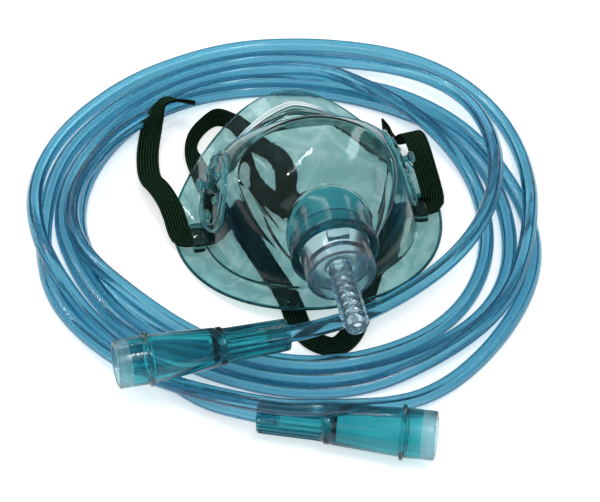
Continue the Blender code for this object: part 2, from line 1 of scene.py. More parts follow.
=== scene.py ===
"""Simple oxygen face mask with its strap, swivel connector and coiled supply tubing.

One section for each piece, in the order of assembly: the moulded mask body, the nose clip,
the swivel connector, the head strap, the supply tube and its two end connectors, and last
the studio. Units are metres, +Z is up, the nose points to +Y and the port to -Y.
"""

import math
from collections import namedtuple

import bmesh
import bpy
from mathutils import Matrix, Vector


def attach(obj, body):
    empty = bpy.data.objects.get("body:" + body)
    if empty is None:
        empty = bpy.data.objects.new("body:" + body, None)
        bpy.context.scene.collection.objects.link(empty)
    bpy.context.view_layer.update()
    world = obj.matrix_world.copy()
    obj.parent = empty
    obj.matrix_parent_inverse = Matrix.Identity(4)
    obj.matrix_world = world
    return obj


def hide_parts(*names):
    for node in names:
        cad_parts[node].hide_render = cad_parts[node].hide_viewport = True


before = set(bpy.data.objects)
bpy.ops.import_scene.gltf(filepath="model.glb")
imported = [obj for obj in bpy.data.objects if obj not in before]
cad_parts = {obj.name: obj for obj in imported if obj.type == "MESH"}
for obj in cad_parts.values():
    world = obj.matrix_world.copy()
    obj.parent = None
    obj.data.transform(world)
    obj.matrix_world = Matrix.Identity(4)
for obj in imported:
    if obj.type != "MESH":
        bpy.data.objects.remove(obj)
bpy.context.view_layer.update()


# Mask body: one moulding of soft clear green PVC, 1.4 mm thick. The rolled face flange, the
# band for the nose clip, the dome with its two vent panels, the strap lugs and the round
# socket come out of one mould. Its thick, darker places are meshes of their own.

MASK_WIDTH = 0.0950
CHEEK_Y = 0.0170
NOSE_REACH = 0.0630
CHIN_REACH = 0.0325
NOSE_LIFT = 0.0232
CHIN_LIFT = 0.0070
FLANGE_WIDTH = 0.0085
NOSE_FLANGE_WIDTH = 0.0152
CHIN_FLANGE_WIDTH = 0.0070
WALL = 0.0014
FLANGE_LIFT = 0.0002
RIDGE_WIDTH = 0.0570
RIDGE_HEIGHT = 0.0340
RIDGE_Y = 0.0215
CROWN_HEIGHT = 0.0475
PORT_HEIGHT = 0.0300
SOCKET_DIAMETER = 0.0275
SOCKET_FRONT = 0.0276
LIP_DIAMETER = 0.0294
LIP_LENGTH = 0.0030
LIP_OVERLAP = 0.0004
CONNECTOR_DIAMETER = 0.0228
RUNNING_CLEARANCE = 0.00035
SOCKET_LEVEL = 9.60
BEAD_RADIUS = 0.00050
SKIN_AROUND = 144
SKIN_FINENESS = 3
PORT_STEPS = 96

# A ring of the body: its half width, where it is widest, how far it reaches to nose and chin,
# its three heights, the roundness of its two ends, how late its height rises to them, and the
# steps up to the next ring.
Ring = namedtuple("Ring", "half_width widest_y nose_y chin_y side_z nose_z chin_z "
                          "nose_round chin_round nose_rise chin_rise steps")


def body_rings():
    half = MASK_WIDTH / 2
    crease = half - FLANGE_WIDTH
    crease_nose = NOSE_REACH - NOSE_FLANGE_WIDTH
    crease_chin = CHIN_FLANGE_WIDTH - CHIN_REACH
    chin_top = CHIN_LIFT + WALL
    cheek = WALL + FLANGE_LIFT
    ridge = RIDGE_WIDTH / 2
    socket = SOCKET_DIAMETER / 2
    low, high = PORT_HEIGHT - socket, PORT_HEIGHT + socket
    front = -SOCKET_FRONT
    return [
        Ring(half, CHEEK_Y, NOSE_REACH, -CHIN_REACH, cheek, NOSE_LIFT, chin_top,
             2.0, 1.95, 3.8, 2.2, 3),
        Ring(crease, CHEEK_Y, crease_nose, crease_chin, cheek, NOSE_LIFT + 0.0025,
             chin_top + 0.0006, 1.75, 2.0, 1.9, 2.2, 1),
        Ring(crease - 0.0004, CHEEK_Y, crease_nose - 0.0008, crease_chin + 0.0003, 0.0036,
             NOSE_LIFT + 0.0037, chin_top + 0.0016, 1.65, 2.05, 1.5, 2.2, 2),
        Ring(crease - 0.0012, CHEEK_Y, crease_nose - 0.0048, crease_chin + 0.0006, 0.0092,
             NOSE_LIFT + 0.0077, chin_top + 0.0028, 1.55, 2.1, 1.0, 2.3, 2),
        Ring(crease - 0.0025, CHEEK_Y - 0.0010, RIDGE_Y + 0.0125, crease_chin + 0.0008, 0.0152,
             NOSE_LIFT + 0.0080, chin_top + 0.0038, 2.5, 2.1, 1.1, 2.6, 2),
        Ring(crease - 0.0055, CHEEK_Y - 0.0025, RIDGE_Y + 0.0070, crease_chin + 0.0010, 0.0235,
             CROWN_HEIGHT - 0.0085, chin_top + 0.0048, 2.4, 2.1, 1.2, 2.9, 3),
        Ring(ridge, CHEEK_Y - 0.0080, RIDGE_Y, crease_chin + 0.0012, RIDGE_HEIGHT,
             CROWN_HEIGHT - 0.0018, chin_top + 0.0058, 2.0, 2.1, 1.4, 2.6, 2),
        Ring(ridge - 0.0038, CHEEK_Y - 0.0145, RIDGE_Y - 0.0050, crease_chin + 0.0008,
             RIDGE_HEIGHT + 0.0018, CROWN_HEIGHT, chin_top + 0.0066, 2.0, 2.1, 1.45, 1.9, 2),
        Ring(ridge - 0.0084, -0.0100, -0.0030, crease_chin, RIDGE_HEIGHT + 0.0004,
             CROWN_HEIGHT - 0.0001, low - 0.0006, 2.0, 2.05, 1.2, 1.35, 2),
        Ring(socket + 0.0016, -0.0183, -0.0122, -0.0264, PORT_HEIGHT + 0.0010,
             high + 0.0018, low - 0.0002, 2.0, 2.0, 1.0, 1.05, 2),
        Ring(socket, front + 0.0068, front + 0.0130, front + 0.0010, PORT_HEIGHT, high, low,
             2.0, 2.0, 1.0, 1.0, 1),
        Ring(socket, front, front, front, PORT_HEIGHT, high, low, 2.0, 2.0, 1.0, 1.0, 1),
    ]


def spline_value(before, start, stop, after, t):
    return 0.5 * (2 * start + (stop - before) * t
                  + (2 * before - 5 * start + 4 * stop - after) * t * t
                  + (3 * start - before - 3 * stop + after) * t * t * t)


def ring_at(rings, level):
    last = len(rings) - 1
    base = min(int(level), last - 1)
    around = [rings[min(max(base + step, 0), last)] for step in (-1, 0, 1, 2)]
    return Ring(*(spline_value(*values, level - base) for values in zip(*around)))


def ring_point(ring, angle):
    across, along = math.cos(angle), math.sin(angle)
    to_nose = along >= 0
    power = 2 / (ring.nose_round if to_nose else ring.chin_round)
    reach = abs(along) ** power
    end_y, end_z, rise = ((ring.nose_y, ring.nose_z, ring.nose_rise) if to_nose
                          else (ring.chin_y, ring.chin_z, ring.chin_rise))
    return Vector((ring.half_width * math.copysign(abs(across) ** power, across),
                   ring.widest_y + (end_y - ring.widest_y) * reach,
                   ring.side_z + (end_z - ring.side_z) * reach ** rise))


def skin_point(angle, level):
    return ring_point(ring_at(body_rings(), level), angle)


def skin_frame(angle, level):
    """A point on the body's outer skin, with the directions round it, up it and out of it."""
    step = 0.01
    round_it = (skin_point(angle + step, level) - skin_point(angle - step, level)).normalized()
    up_it = (skin_point(angle, level + step) - skin_point(angle, level - step)).normalized()
    out = round_it.cross(up_it).normalized()
    return skin_point(angle, level), round_it, out.cross(round_it), out


def side_angle(side, degrees):
    return math.radians(degrees if side > 0 else 180 - degrees)


def laid_grid(columns, rows, place, closed=False):
    """A grid of faces whose corners are set by place(column, row); closed joins its two sides."""
    shape = bmesh.new()
    bmesh.ops.create_grid(shape, x_segments=columns, y_segments=rows, size=1.0)
    laid = shape.loops.layers.uv.new("laid")
    for face in shape.faces:
        for loop in face.loops:
            loop[laid].uv = ((loop.vert.co.x + 1) / 2, (loop.vert.co.y + 1) / 2)
    for corner in shape.verts:
        column = round((corner.co.x + 1) / 2 * columns)
        row = round((corner.co.y + 1) / 2 * rows)
        corner.co = place(column % columns if closed else column, row)
    if closed:
        bmesh.ops.remove_doubles(shape, verts=shape.verts, dist=0.000001)
    return shape


def object_from(shape, name):
    mesh = bpy.data.meshes.new(name)
    shape.to_mesh(mesh)
    shape.free()
    item = bpy.data.objects.new(name, mesh)
    bpy.context.scene.collection.objects.link(item)
    return item


def settle(item):
    """Writes an object's modifiers into its mesh."""
    graph = bpy.context.evaluated_depsgraph_get()
    mesh = bpy.data.meshes.new_from_object(item.evaluated_get(graph))
    item.modifiers.clear()
    item.data = mesh


def shade_smooth(item, crease_degrees=35):
    item.data.shade_smooth()
    item.data.set_sharp_from_angle(angle=math.radians(crease_degrees))


def combine(item, others, operation):
    for other in others:
        step = item.modifiers.new(operation.lower(), "BOOLEAN")
        step.operation = operation
        step.object = other
        step.solver = "EXACT"
    settle(item)
    for other in others:
        bpy.data.objects.remove(other, do_unlink=True)


def merged(name, items):
    shape = bmesh.new()
    for item in items:
        shape.from_mesh(item.data)
        bpy.data.objects.remove(item, do_unlink=True)
    return object_from(shape, name)


def turned(name, profile, steps, place, direction, closed=True, carve=None):
    """A profile of (radius, distance along the axis), spun round an axis and then carved."""
    shape = bmesh.new()
    corners = [shape.verts.new((radius, 0.0, along)) for radius, along in profile]
    stops = corners[1:] + corners[:1] if closed else corners[1:]
    edges = [shape.edges.new(pair) for pair in zip(corners, stops)]
    bmesh.ops.spin(shape, geom=corners + edges, cent=(0, 0, 0), axis=(0, 0, 1),
                   angle=math.tau, steps=steps, use_merge=True)
    bmesh.ops.remove_doubles(shape, verts=shape.verts, dist=0.000002)
    bmesh.ops.recalc_face_normals(shape, faces=shape.faces)
    for corner in shape.verts if carve else ():
        corner.co = carve(corner.co)
    turn = Vector(direction).to_track_quat("Z", "Y").to_matrix().to_4x4()
    bmesh.ops.transform(shape, matrix=Matrix.Translation(place) @ turn, verts=shape.verts)
    return object_from(shape, name)


def bent_rod(name, route, radius, cyclic=False, resolution=3):
    curve = bpy.data.curves.new(name, "CURVE")
    curve.dimensions = "3D"
    curve.bevel_depth = radius
    curve.bevel_resolution = resolution
    curve.use_fill_caps = not cyclic
    line = curve.splines.new("POLY")
    line.points.add(len(route) - 1)
    for point, place in zip(line.points, route):
        point.co = (*place, 1.0)
    line.use_cyclic_u = cyclic
    source = bpy.data.objects.new(name, curve)
    bpy.context.scene.collection.objects.link(source)
    graph = bpy.context.evaluated_depsgraph_get()
    shape = bmesh.new()
    shape.from_mesh(source.evaluated_get(graph).to_mesh())
    bmesh.ops.remove_doubles(shape, verts=shape.verts, dist=0.000002)
    bpy.data.objects.remove(source, do_unlink=True)
    bpy.data.curves.remove(curve)
    return object_from(shape, name)


def new_material(name):
    made = bpy.data.materials.new(name)
    made.use_nodes = True
    return made, made.node_tree, made.node_tree.nodes["Principled BSDF"]


def new_node(tree, kind, **values):
    """A shader node whose inputs are set by name, with an underscore for a space."""
    made = tree.nodes.new("ShaderNode" + kind)
    for name, value in values.items():
        made.inputs[name.replace("_", " ")].default_value = value
    return made


def worked_out(tree, operation, *terms):
    """The output of a Math node whose terms are numbers or other nodes' outputs."""
    made = new_node(tree, "Math")
    made.operation = operation
    for socket, term in zip(made.inputs, terms):
        if isinstance(term, float):
            socket.default_value = term
        else:
            tree.links.new(term, socket)
    return made.outputs["Value"]


def colour_ramp(tree, source, *stops):
    """The colours that a ramp of (position, colour) stops gives for a node's output."""
    made = new_node(tree, "ValToRGB")
    elements = made.color_ramp.elements
    for position, colour in stops[1:-1]:
        elements.new(position).color = (*colour, 1.0)
    for element, (position, colour) in ((elements[0], stops[0]), (elements[-1], stops[-1])):
        element.position = position
        element.color = (*colour, 1.0)
    tree.links.new(source, made.inputs["Fac"])
    return made.outputs["Color"]


def coat(item, material):
    item.data.materials.clear()
    item.data.materials.append(material)


def clear_plastic(name, tint, wall, roughness, ripple, ripple_scale, streak=(1.0, 1.0, 1.0),
                  streak_scale=40.0, shade=(0.96, 0.98, 0.98), milk=0.0, painted_dome_shade=1.0, bend=1.45):
    """A clear plastic that lets the colour tint through a wall of this thickness.

    The tint comes from inside the plastic, so thick places and edges are darker. Streak is
    the colour of the darker flow marks in its skin, milk the most that it turns light back,
    painted_dome_shade the factor that darkens its skin colour from 3 mm to 14 mm above the
    table, a painted shade for the dimmer light inside a dome, and bend how much it bends
    light. Rays that carry shadow or soft light pass straight through, shaded once at each skin.
    """
    made, tree, shader = new_material(name)
    links = tree.links
    shader.inputs["Transmission Weight"].default_value = 1.0
    shader.inputs["IOR"].default_value = bend
    coordinates = new_node(tree, "TexCoord")
    cloud = new_node(tree, "TexNoise", Scale=ripple_scale, Detail=4.0, Distortion=0.6)
    links.new(coordinates.outputs["Object"], cloud.inputs["Vector"])
    bump = new_node(tree, "Bump", Strength=1.0, Distance=ripple)
    links.new(cloud.outputs["Fac"], bump.inputs["Height"])
    links.new(bump.outputs["Normal"], shader.inputs["Normal"])
    frost = new_node(tree, "MapRange", From_Min=0.3, From_Max=0.7,
                     To_Min=roughness * 0.6, To_Max=roughness * 1.4)
    links.new(cloud.outputs["Fac"], frost.inputs["Value"])
    links.new(frost.outputs["Result"], shader.inputs["Roughness"])
    flow = new_node(tree, "TexNoise", Scale=streak_scale, Detail=5.0, Distortion=3.0)
    links.new(coordinates.outputs["Object"], flow.inputs["Vector"])
    tone = colour_ramp(tree, flow.outputs["Fac"], (0.42, streak), (0.62, (1.0, 1.0, 1.0)))
    # Painted shade: the colour darkens higher up, from 3 mm to 14 mm above the table, to stand in
    # for the dimmer light inside a dome.
    height = new_node(tree, "SeparateXYZ")
    links.new(coordinates.outputs["Object"], height.inputs["Vector"])
    dome_shade_factor = new_node(tree, "MapRange", From_Min=0.003, From_Max=0.014, To_Min=1.0, To_Max=painted_dome_shade)
    links.new(height.outputs["Z"], dome_shade_factor.inputs["Value"])
    shaded_tone = new_node(tree, "VectorMath")
    shaded_tone.operation = "SCALE"
    links.new(tone, shaded_tone.inputs[0])
    links.new(dome_shade_factor.outputs["Result"], shaded_tone.inputs["Scale"])
    links.new(shaded_tone.outputs["Vector"], shader.inputs["Base Color"])
    skin = new_node(tree, "BsdfDiffuse", Color=(*(value ** 0.7 for value in tint), 1.0))
    cloudy = new_node(tree, "MapRange", From_Min=0.35, From_Max=0.75,
                      To_Min=milk * 0.35, To_Max=milk)
    links.new(flow.outputs["Fac"], cloudy.inputs["Value"])
    body = new_node(tree, "MixShader")
    links.new(cloudy.outputs["Result"], body.inputs["Fac"])
    links.new(shader.outputs["BSDF"], body.inputs[1])
    links.new(skin.outputs["BSDF"], body.inputs[2])
    depth = [-math.log(value) / wall for value in tint]
    density = max(depth) * 1.05
    inside = new_node(tree, "VolumeAbsorption", Density=density,
                      Color=(*(1 - value / density for value in depth), 1.0))
    ray = new_node(tree, "LightPath")
    soft_light = worked_out(tree, "MAXIMUM",
                            ray.outputs["Is Shadow Ray"], ray.outputs["Is Diffuse Ray"])
    straight = new_node(tree, "BsdfTransparent", Color=(*shade, 1.0))
    mix = new_node(tree, "MixShader")
    links.new(soft_light, mix.inputs["Fac"])
    links.new(body.outputs["Shader"], mix.inputs[1])
    links.new(straight.outputs["BSDF"], mix.inputs[2])
    end = tree.nodes["Material Output"]
    links.new(mix.outputs["Shader"], end.inputs["Surface"])
    links.new(inside.outputs["Volume"], end.inputs["Volume"])
    return made


skin_rings = body_rings()
skin_levels = [base + step / (skin_rings[base].steps * SKIN_FINENESS)
               for base in range(len(skin_rings) - 1)
               for step in range(skin_rings[base].steps * SKIN_FINENESS)] + [len(skin_rings) - 1]
level_rings = [ring_at(skin_rings, level) for level in skin_levels if level <= SOCKET_LEVEL + 0.2]
mask_body = object_from(laid_grid(
    SKIN_AROUND, len(level_rings) - 1,
    lambda column, row: ring_point(level_rings[row], math.tau * column / SKIN_AROUND),
    closed=True), "mask_body")
wall = mask_body.modifiers.new("wall", "SOLIDIFY")
wall.thickness = WALL
wall.offset = -1

lip_inner = CONNECTOR_DIAMETER / 2 + RUNNING_CLEARANCE
lip_outer = LIP_DIAMETER / 2
lip_ease = 0.0007
lip_back = SOCKET_FRONT - LIP_OVERLAP
lip_front = lip_back + LIP_LENGTH
socket_lip = turned("socket_lip", [
    (lip_inner, lip_back), (lip_inner, lip_front - lip_ease),
    (lip_inner + lip_ease * 0.3, lip_front - lip_ease * 0.3), (lip_inner + lip_ease, lip_front),
    (lip_outer - lip_ease, lip_front), (lip_outer - lip_ease * 0.3, lip_front - lip_ease * 0.3),
    (lip_outer, lip_front - lip_ease), (lip_outer, lip_back + lip_ease),
    (lip_outer - lip_ease, lip_back)], PORT_STEPS, (0, 0, PORT_HEIGHT), (0, -1, 0))

# The vent panels: an oval bead on each side wall round six small raised holes and a knob.
VENT_LEVEL = 4.50
VENT_ANGLE = 9.0
VENT_HALF_HEIGHT = 1.38
VENT_HALF_SPREAD = 28.0
VENT_RIM_RADIUS = 0.0007
VENT_RIM_STEPS = 72
VENT_INNER_RIM = 0.84
VENT_HOLES = 6
VENT_HOLE_DIAMETER = 0.0018
VENT_COLLAR_DIAMETER = 0.0031
VENT_COLLAR_HEIGHT = 0.0006
VENT_HOLE_RING = 0.62
VENT_POST_DIAMETER = 0.0026
VENT_KNOB_DIAMETER = 0.0043
VENT_POST_HEIGHT = 0.0038


def vent_frame(side, turn, size=1.0):
    degrees = VENT_ANGLE + VENT_HALF_SPREAD * size * math.cos(turn)
    level = VENT_LEVEL + VENT_HALF_HEIGHT * size * math.sin(turn)
    return skin_frame(side_angle(side, degrees), level)


def vent_rim(side, size, radius):
    route = []
    for step in range(VENT_RIM_STEPS):
        point, _, _, out = vent_frame(side, math.tau * step / VENT_RIM_STEPS, size)
        route.append(point + out * radius * 0.4)
    return bent_rod("vent_rim", route, radius, cyclic=True)


def knobbed_post(point, out, stem, knob, height):
    root = -WALL / 2
    profile = [(0, root), (stem, root), (stem, height * 0.42),
               (stem + (knob - stem) * 0.4, height * 0.47), (knob, height * 0.60),
               (knob, height * 0.78), (knob * 0.86, height * 0.92), (knob * 0.55, height),
               (0, height)]
    return turned("post", profile, 32, point, out, closed=False)


def vent_collar(point, out):
    root = -WALL / 2
    outer, inner = VENT_COLLAR_DIAMETER / 2, VENT_HOLE_DIAMETER / 2
    profile = [(inner * 0.9, root), (outer, root), (outer, VENT_COLLAR_HEIGHT * 0.6),
               (outer - 0.0003, VENT_COLLAR_HEIGHT), (inner * 0.9, VENT_COLLAR_HEIGHT)]
    return turned("vent_collar", profile, 24, point, out)


def drill(point, out, diameter, depth=0.0080):
    profile = [(0, -depth / 2), (diameter / 2, -depth / 2),
               (diameter / 2, depth / 2), (0, depth / 2)]
    return turned("drill", profile, 24, point, out, closed=False)


# The nose clip's posts and the strap lugs with their slots.
CLIP_LEVEL = 2.66
POST_ANGLE = 39.0
POST_DIAMETER = 0.0034
POST_HEIGHT = 0.0050
LUG_Y = 0.0130
LUG_LENGTH = 0.0112
LUG_HEIGHT = 0.0052
LUG_PROUD = 0.0031
LUG_ROOT = 0.0012
LUG_FOOT = 0.0006
LUG_EASE = 0.0009
STRAP_WIDTH = 0.0082
STRAP_THICKNESS = 0.0011
STRAP_HEIGHT_AT_LUG = 0.0036
SLOT_CLEARANCE = 0.0003
SLOT_REACH = 0.0140


def lug_block(side, size, centre_x, centre_z, ease):
    shape = bmesh.new()
    bmesh.ops.create_cube(shape, size=1.0)
    bmesh.ops.scale(shape, verts=shape.verts, vec=size)
    if ease:
        bmesh.ops.bevel(shape, geom=shape.edges[:], offset=ease, segments=4, profile=0.5,
                        affect="EDGES", material=-1)
    bmesh.ops.translate(shape, verts=shape.verts, vec=(side * centre_x, LUG_Y, centre_z))
    return object_from(shape, "lug")


wall_foot = MASK_WIDTH / 2 - FLANGE_WIDTH
lug_depth = LUG_PROUD + LUG_ROOT
added, opened, vent_trims = [], [], []
for side, side_name in ((1, "right"), (-1, "left")):
    point, _, _, out = vent_frame(side, 0, 0)
    trim = [vent_rim(side, 1.0, VENT_RIM_RADIUS),
            vent_rim(side, VENT_INNER_RIM, VENT_RIM_RADIUS * 0.5),
            knobbed_post(point, out, VENT_POST_DIAMETER / 2, VENT_KNOB_DIAMETER / 2,
                         VENT_POST_HEIGHT)]
    for step in range(VENT_HOLES):
        turn = math.tau * (step + 0.5) / VENT_HOLES
        point, _, _, out = vent_frame(side, turn, VENT_HOLE_RING)
        trim.append(vent_collar(point, out))
        opened.append(drill(point, out, VENT_HOLE_DIAMETER))
    vent_trims.append(merged("vent_trim_" + side_name, trim))
    point, _, _, out = skin_frame(side_angle(side, POST_ANGLE), CLIP_LEVEL)
    added.append(knobbed_post(point, out, POST_DIAMETER / 2, POST_DIAMETER / 2, POST_HEIGHT))
    added.append(lug_block(side, (lug_depth, LUG_LENGTH, LUG_HEIGHT),
                           wall_foot + LUG_PROUD - lug_depth / 2, LUG_FOOT + LUG_HEIGHT / 2,
                           LUG_EASE))
    opened.append(lug_block(side, (SLOT_REACH, STRAP_WIDTH + 2 * SLOT_CLEARANCE,
                                   STRAP_THICKNESS + 2 * SLOT_CLEARANCE),
                            wall_foot, STRAP_HEIGHT_AT_LUG, 0))
combine(mask_body, added, "UNION")
combine(mask_body, opened, "DIFFERENCE")
shade_smooth(mask_body, 32)
# The mask's colour darkens towards the top of its dome: painted shade.
coat(mask_body, clear_plastic(
    "soft_green_vinyl", tint=(0.53, 0.73, 0.73), wall=WALL, roughness=0.035,
    ripple=0.00005, ripple_scale=150, streak=(0.58, 0.73, 0.73), streak_scale=62,
    shade=(0.52, 0.72, 0.72), milk=0.012, painted_dome_shade=0.86, bend=1.33))
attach(mask_body, "mask")
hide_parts("mask_shell")

# The thick parts of the two vent panels: their beads, the collars of the holes and the knobs.
vent_vinyl = clear_plastic(
    "vent_green_vinyl", tint=(0.20, 0.66, 0.70), wall=0.0010, roughness=0.05,
    ripple=0.00003, ripple_scale=200, shade=(0.74, 0.87, 0.87), milk=0.30)
for trim in vent_trims:
    shade_smooth(trim, 40)
    coat(trim, vent_vinyl)
    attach(trim, "mask")

# The rolled edge of the flange: a thin bead, dense enough to show as a dark outline.
BEAD_STEPS = 240
flange_bead = bent_rod("flange_bead", [
    ring_point(skin_rings[0], math.tau * step / BEAD_STEPS) - Vector((0, 0, WALL / 2))
    for step in range(BEAD_STEPS)], BEAD_RADIUS, cyclic=True)
shade_smooth(flange_bead, 60)
coat(flange_bead, clear_plastic(
    "edge_green_vinyl", tint=(0.04, 0.28, 0.34), wall=0.0010, roughness=0.06,
    ripple=0.00003, ripple_scale=200, shade=(0.74, 0.87, 0.87), bend=1.33))
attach(flange_bead, "mask")

# The socket: the thick, darker end of the moulding, a sleeve that runs into the dome, with a
# rolled lip at its mouth.
SLEEVE_EXTRA = 0.0006
socket_levels = [level for level in skin_levels if level >= SOCKET_LEVEL]
socket_rings = [ring_at(skin_rings, level) for level in socket_levels]
port_socket = object_from(laid_grid(
    SKIN_AROUND, len(socket_rings) - 1,
    lambda column, row: ring_point(socket_rings[row], math.tau * column / SKIN_AROUND),
    closed=True), "port_socket")
sleeve = port_socket.modifiers.new("sleeve", "SOLIDIFY")
sleeve.thickness = WALL + SLEEVE_EXTRA
sleeve.offset = -0.55
combine(port_socket, [socket_lip], "UNION")
shade_smooth(port_socket, 32)
coat(port_socket, clear_plastic(
    "socket_green_vinyl", tint=(0.07, 0.37, 0.42), wall=0.0020, roughness=0.15,
    ripple=0.00004, ripple_scale=200, streak=(0.80, 0.90, 0.90), shade=(0.60, 0.78, 0.78),
    milk=0.12, bend=1.33))
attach(port_socket, "mask")


# Nose clip: a soft aluminium strip, punched at both ends, pressed over the two posts and
# pinched to the nose by hand, so it has a sharp fold at the ridge and fine bending marks.

CLIP_WIDTH = 0.0050
CLIP_THICKNESS = 0.0008
CLIP_STAND_OFF = 0.0010
CLIP_TILT = math.radians(-20)
CLIP_END_ANGLE = 25.0
CLIP_ROUNDED_SHARE = 2.2 / 18
CLIP_ROUNDNESS = 0.8
FIT_CLEARANCE = 0.0003
CLIP_COLUMNS = 120
CLIP_ROWS = 8


def clip_place(column, row):
    share = 2 * column / CLIP_COLUMNS - 1
    reach = math.radians(90 - CLIP_END_ANGLE)
    point, _, up, out = skin_frame(math.pi / 2 - share * reach, CLIP_LEVEL)
    into_end = max(0.0, 1 - (1 - abs(share)) / CLIP_ROUNDED_SHARE)
    half = CLIP_WIDTH / 2 * math.sqrt(1 - CLIP_ROUNDNESS * into_end ** 2)
    tilted = up * math.cos(CLIP_TILT) + out * math.sin(CLIP_TILT)
    return point + out * CLIP_STAND_OFF + tilted * half * (1 - 2 * row / CLIP_ROWS)


nose_clip = object_from(laid_grid(CLIP_COLUMNS, CLIP_ROWS, clip_place), "nose_clip_strip")
sheet = nose_clip.modifiers.new("sheet", "SOLIDIFY")
sheet.thickness = CLIP_THICKNESS
sheet.offset = 1
punched = []
for side in (1, -1):
    point, _, _, out = skin_frame(side_angle(side, POST_ANGLE), CLIP_LEVEL)
    punched.append(drill(point, out, POST_DIAMETER + 2 * FIT_CLEARANCE))
combine(nose_clip, punched, "DIFFERENCE")
shade_smooth(nose_clip, 40)

clip_metal, tree, shader = new_material("clip_aluminium")
shader.inputs["Metallic"].default_value = 1.0
coordinates = new_node(tree, "TexCoord")
grain = new_node(tree, "TexNoise", Scale=900.0)
tree.links.new(coordinates.outputs["Object"], grain.inputs["Vector"])
bright = colour_ramp(tree, grain.outputs["Fac"],
                     (0.0, (0.82, 0.82, 0.81)), (1.0, (0.97, 0.97, 0.96)))
# Painted highlights: the strip keeps its bright metal colour only along its two long edges, and its
# middle is painted a dark teal.
split = new_node(tree, "SeparateXYZ")
tree.links.new(coordinates.outputs["UV"], split.inputs["Vector"])
white, black = (1.0, 1.0, 1.0), (0.0, 0.0, 0.0)
edge_highlight_mask = colour_ramp(tree, split.outputs["Y"],
                     (0.10, white), (0.22, black), (0.80, black), (0.90, white))
edge_highlight_mix = new_node(tree, "Mix")
edge_highlight_mix.data_type = "RGBA"
edge_highlight_mix.inputs[6].default_value = (0.34, 0.50, 0.51, 1.0)
tree.links.new(edge_highlight_mask, edge_highlight_mix.inputs["Factor"])
tree.links.new(bright, edge_highlight_mix.inputs[7])
tree.links.new(edge_highlight_mix.outputs["Result"], shader.inputs["Base Color"])
dull = new_node(tree, "MapRange", To_Min=0.14, To_Max=0.30)
tree.links.new(grain.outputs["Fac"], dull.inputs["Value"])
tree.links.new(dull.outputs["Result"], shader.inputs["Roughness"])
coat(nose_clip, clip_metal)
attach(nose_clip, "mask")
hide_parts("nose_clip")


# Swivel connector: an injection moulded cup of clear hard plastic that snaps into the
# socket and turns there. A web closes it, with a barbed nipple for the tube in its middle,
# and a small snap tab stands on it in front of the socket's lip.

CONNECTOR_FRONT = 0.0400
CONNECTOR_BACK = 0.0210
CONNECTOR_FLANGE = 0.0022
CONNECTOR_WALL = 0.0015
WEB_DEPTH = 0.0038
WEB_THICKNESS = 0.0016
NIPPLE_TIP = 0.0630
NIPPLE_DIAMETER = 0.0070
NIPPLE_BORE = 0.0040
BARB_HEIGHT = 0.0008
BARB_COUNT = 6
BARB_PITCH = 0.0033
TAB_WIDTH = 0.0070
TAB_LENGTH = 0.0042
TAB_PROUD = 0.0014
TAB_SUNK = 0.0010
TAB_EASE = 0.0005
SPIGOT_CLEARANCE = 0.0006

cup_outer = CONNECTOR_DIAMETER / 2
cup_inner = cup_outer - CONNECTOR_WALL
spigot = SOCKET_DIAMETER / 2 - WALL - SPIGOT_CLEARANCE
shoulder = SOCKET_FRONT - LIP_OVERLAP - RUNNING_CLEARANCE
bore = NIPPLE_BORE / 2
stem = NIPPLE_DIAMETER / 2
web_front = CONNECTOR_FRONT - WEB_DEPTH
web_back = web_front - WEB_THICKNESS
cup_ease = 0.0005
cup_profile = [
    (bore, web_back), (cup_inner, web_back),
    (cup_inner, CONNECTOR_BACK), (cup_outer, CONNECTOR_BACK),
    (cup_outer, shoulder - CONNECTOR_FLANGE), (spigot, shoulder - CONNECTOR_FLANGE),
    (spigot, shoulder), (cup_outer, shoulder), (cup_outer, CONNECTOR_FRONT - cup_ease),
    (cup_outer - cup_ease * 0.3, CONNECTOR_FRONT - cup_ease * 0.3),
    (cup_outer - cup_ease, CONNECTOR_FRONT),
    (cup_inner + cup_ease * 0.4, CONNECTOR_FRONT), (cup_inner, CONNECTOR_FRONT - cup_ease * 0.4),
    (cup_inner, web_front + 0.0003), (cup_inner - 0.0003, web_front), (stem + 0.0016, web_front),
    (stem + 0.0008, web_front + 0.0005), (stem + 0.0001, web_front + 0.0030)]
first_barb = NIPPLE_TIP - 0.0016 - BARB_COUNT * BARB_PITCH
for index in range(BARB_COUNT):
    start = first_barb + index * BARB_PITCH
    for share, rise in ((0.0, 0.0), (0.15, 0.25), (0.32, 0.8), (0.48, 1.0), (0.66, 0.95),
                        (0.82, 0.35)):
        cup_profile.append((stem + BARB_HEIGHT * rise, start + BARB_PITCH * share))
cup_profile += [(stem, NIPPLE_TIP - 0.0014), (stem - 0.0002, NIPPLE_TIP - 0.0003),
                (stem - 0.0005, NIPPLE_TIP), (bore + 0.0002, NIPPLE_TIP),
                (bore, NIPPLE_TIP - 0.0002)]
swivel_cup = turned("swivel_cup", cup_profile, PORT_STEPS, (0, 0, PORT_HEIGHT), (0, -1, 0))
tab_shape = bmesh.new()
bmesh.ops.create_cube(tab_shape, size=1.0)
bmesh.ops.scale(tab_shape, verts=tab_shape.verts, vec=(TAB_WIDTH, TAB_LENGTH, TAB_PROUD + TAB_SUNK))
bmesh.ops.bevel(tab_shape, geom=tab_shape.edges[:], offset=TAB_EASE, segments=4, profile=0.5,
                affect="EDGES", material=-1)
tab_y = -(SOCKET_FRONT - LIP_OVERLAP + LIP_LENGTH + FIT_CLEARANCE + TAB_LENGTH / 2)
bmesh.ops.translate(tab_shape, verts=tab_shape.verts,
                    vec=(0, tab_y, PORT_HEIGHT + cup_outer + (TAB_PROUD - TAB_SUNK) / 2))
combine(swivel_cup, [object_from(tab_shape, "snap_tab")], "UNION")
shade_smooth(swivel_cup, 40)
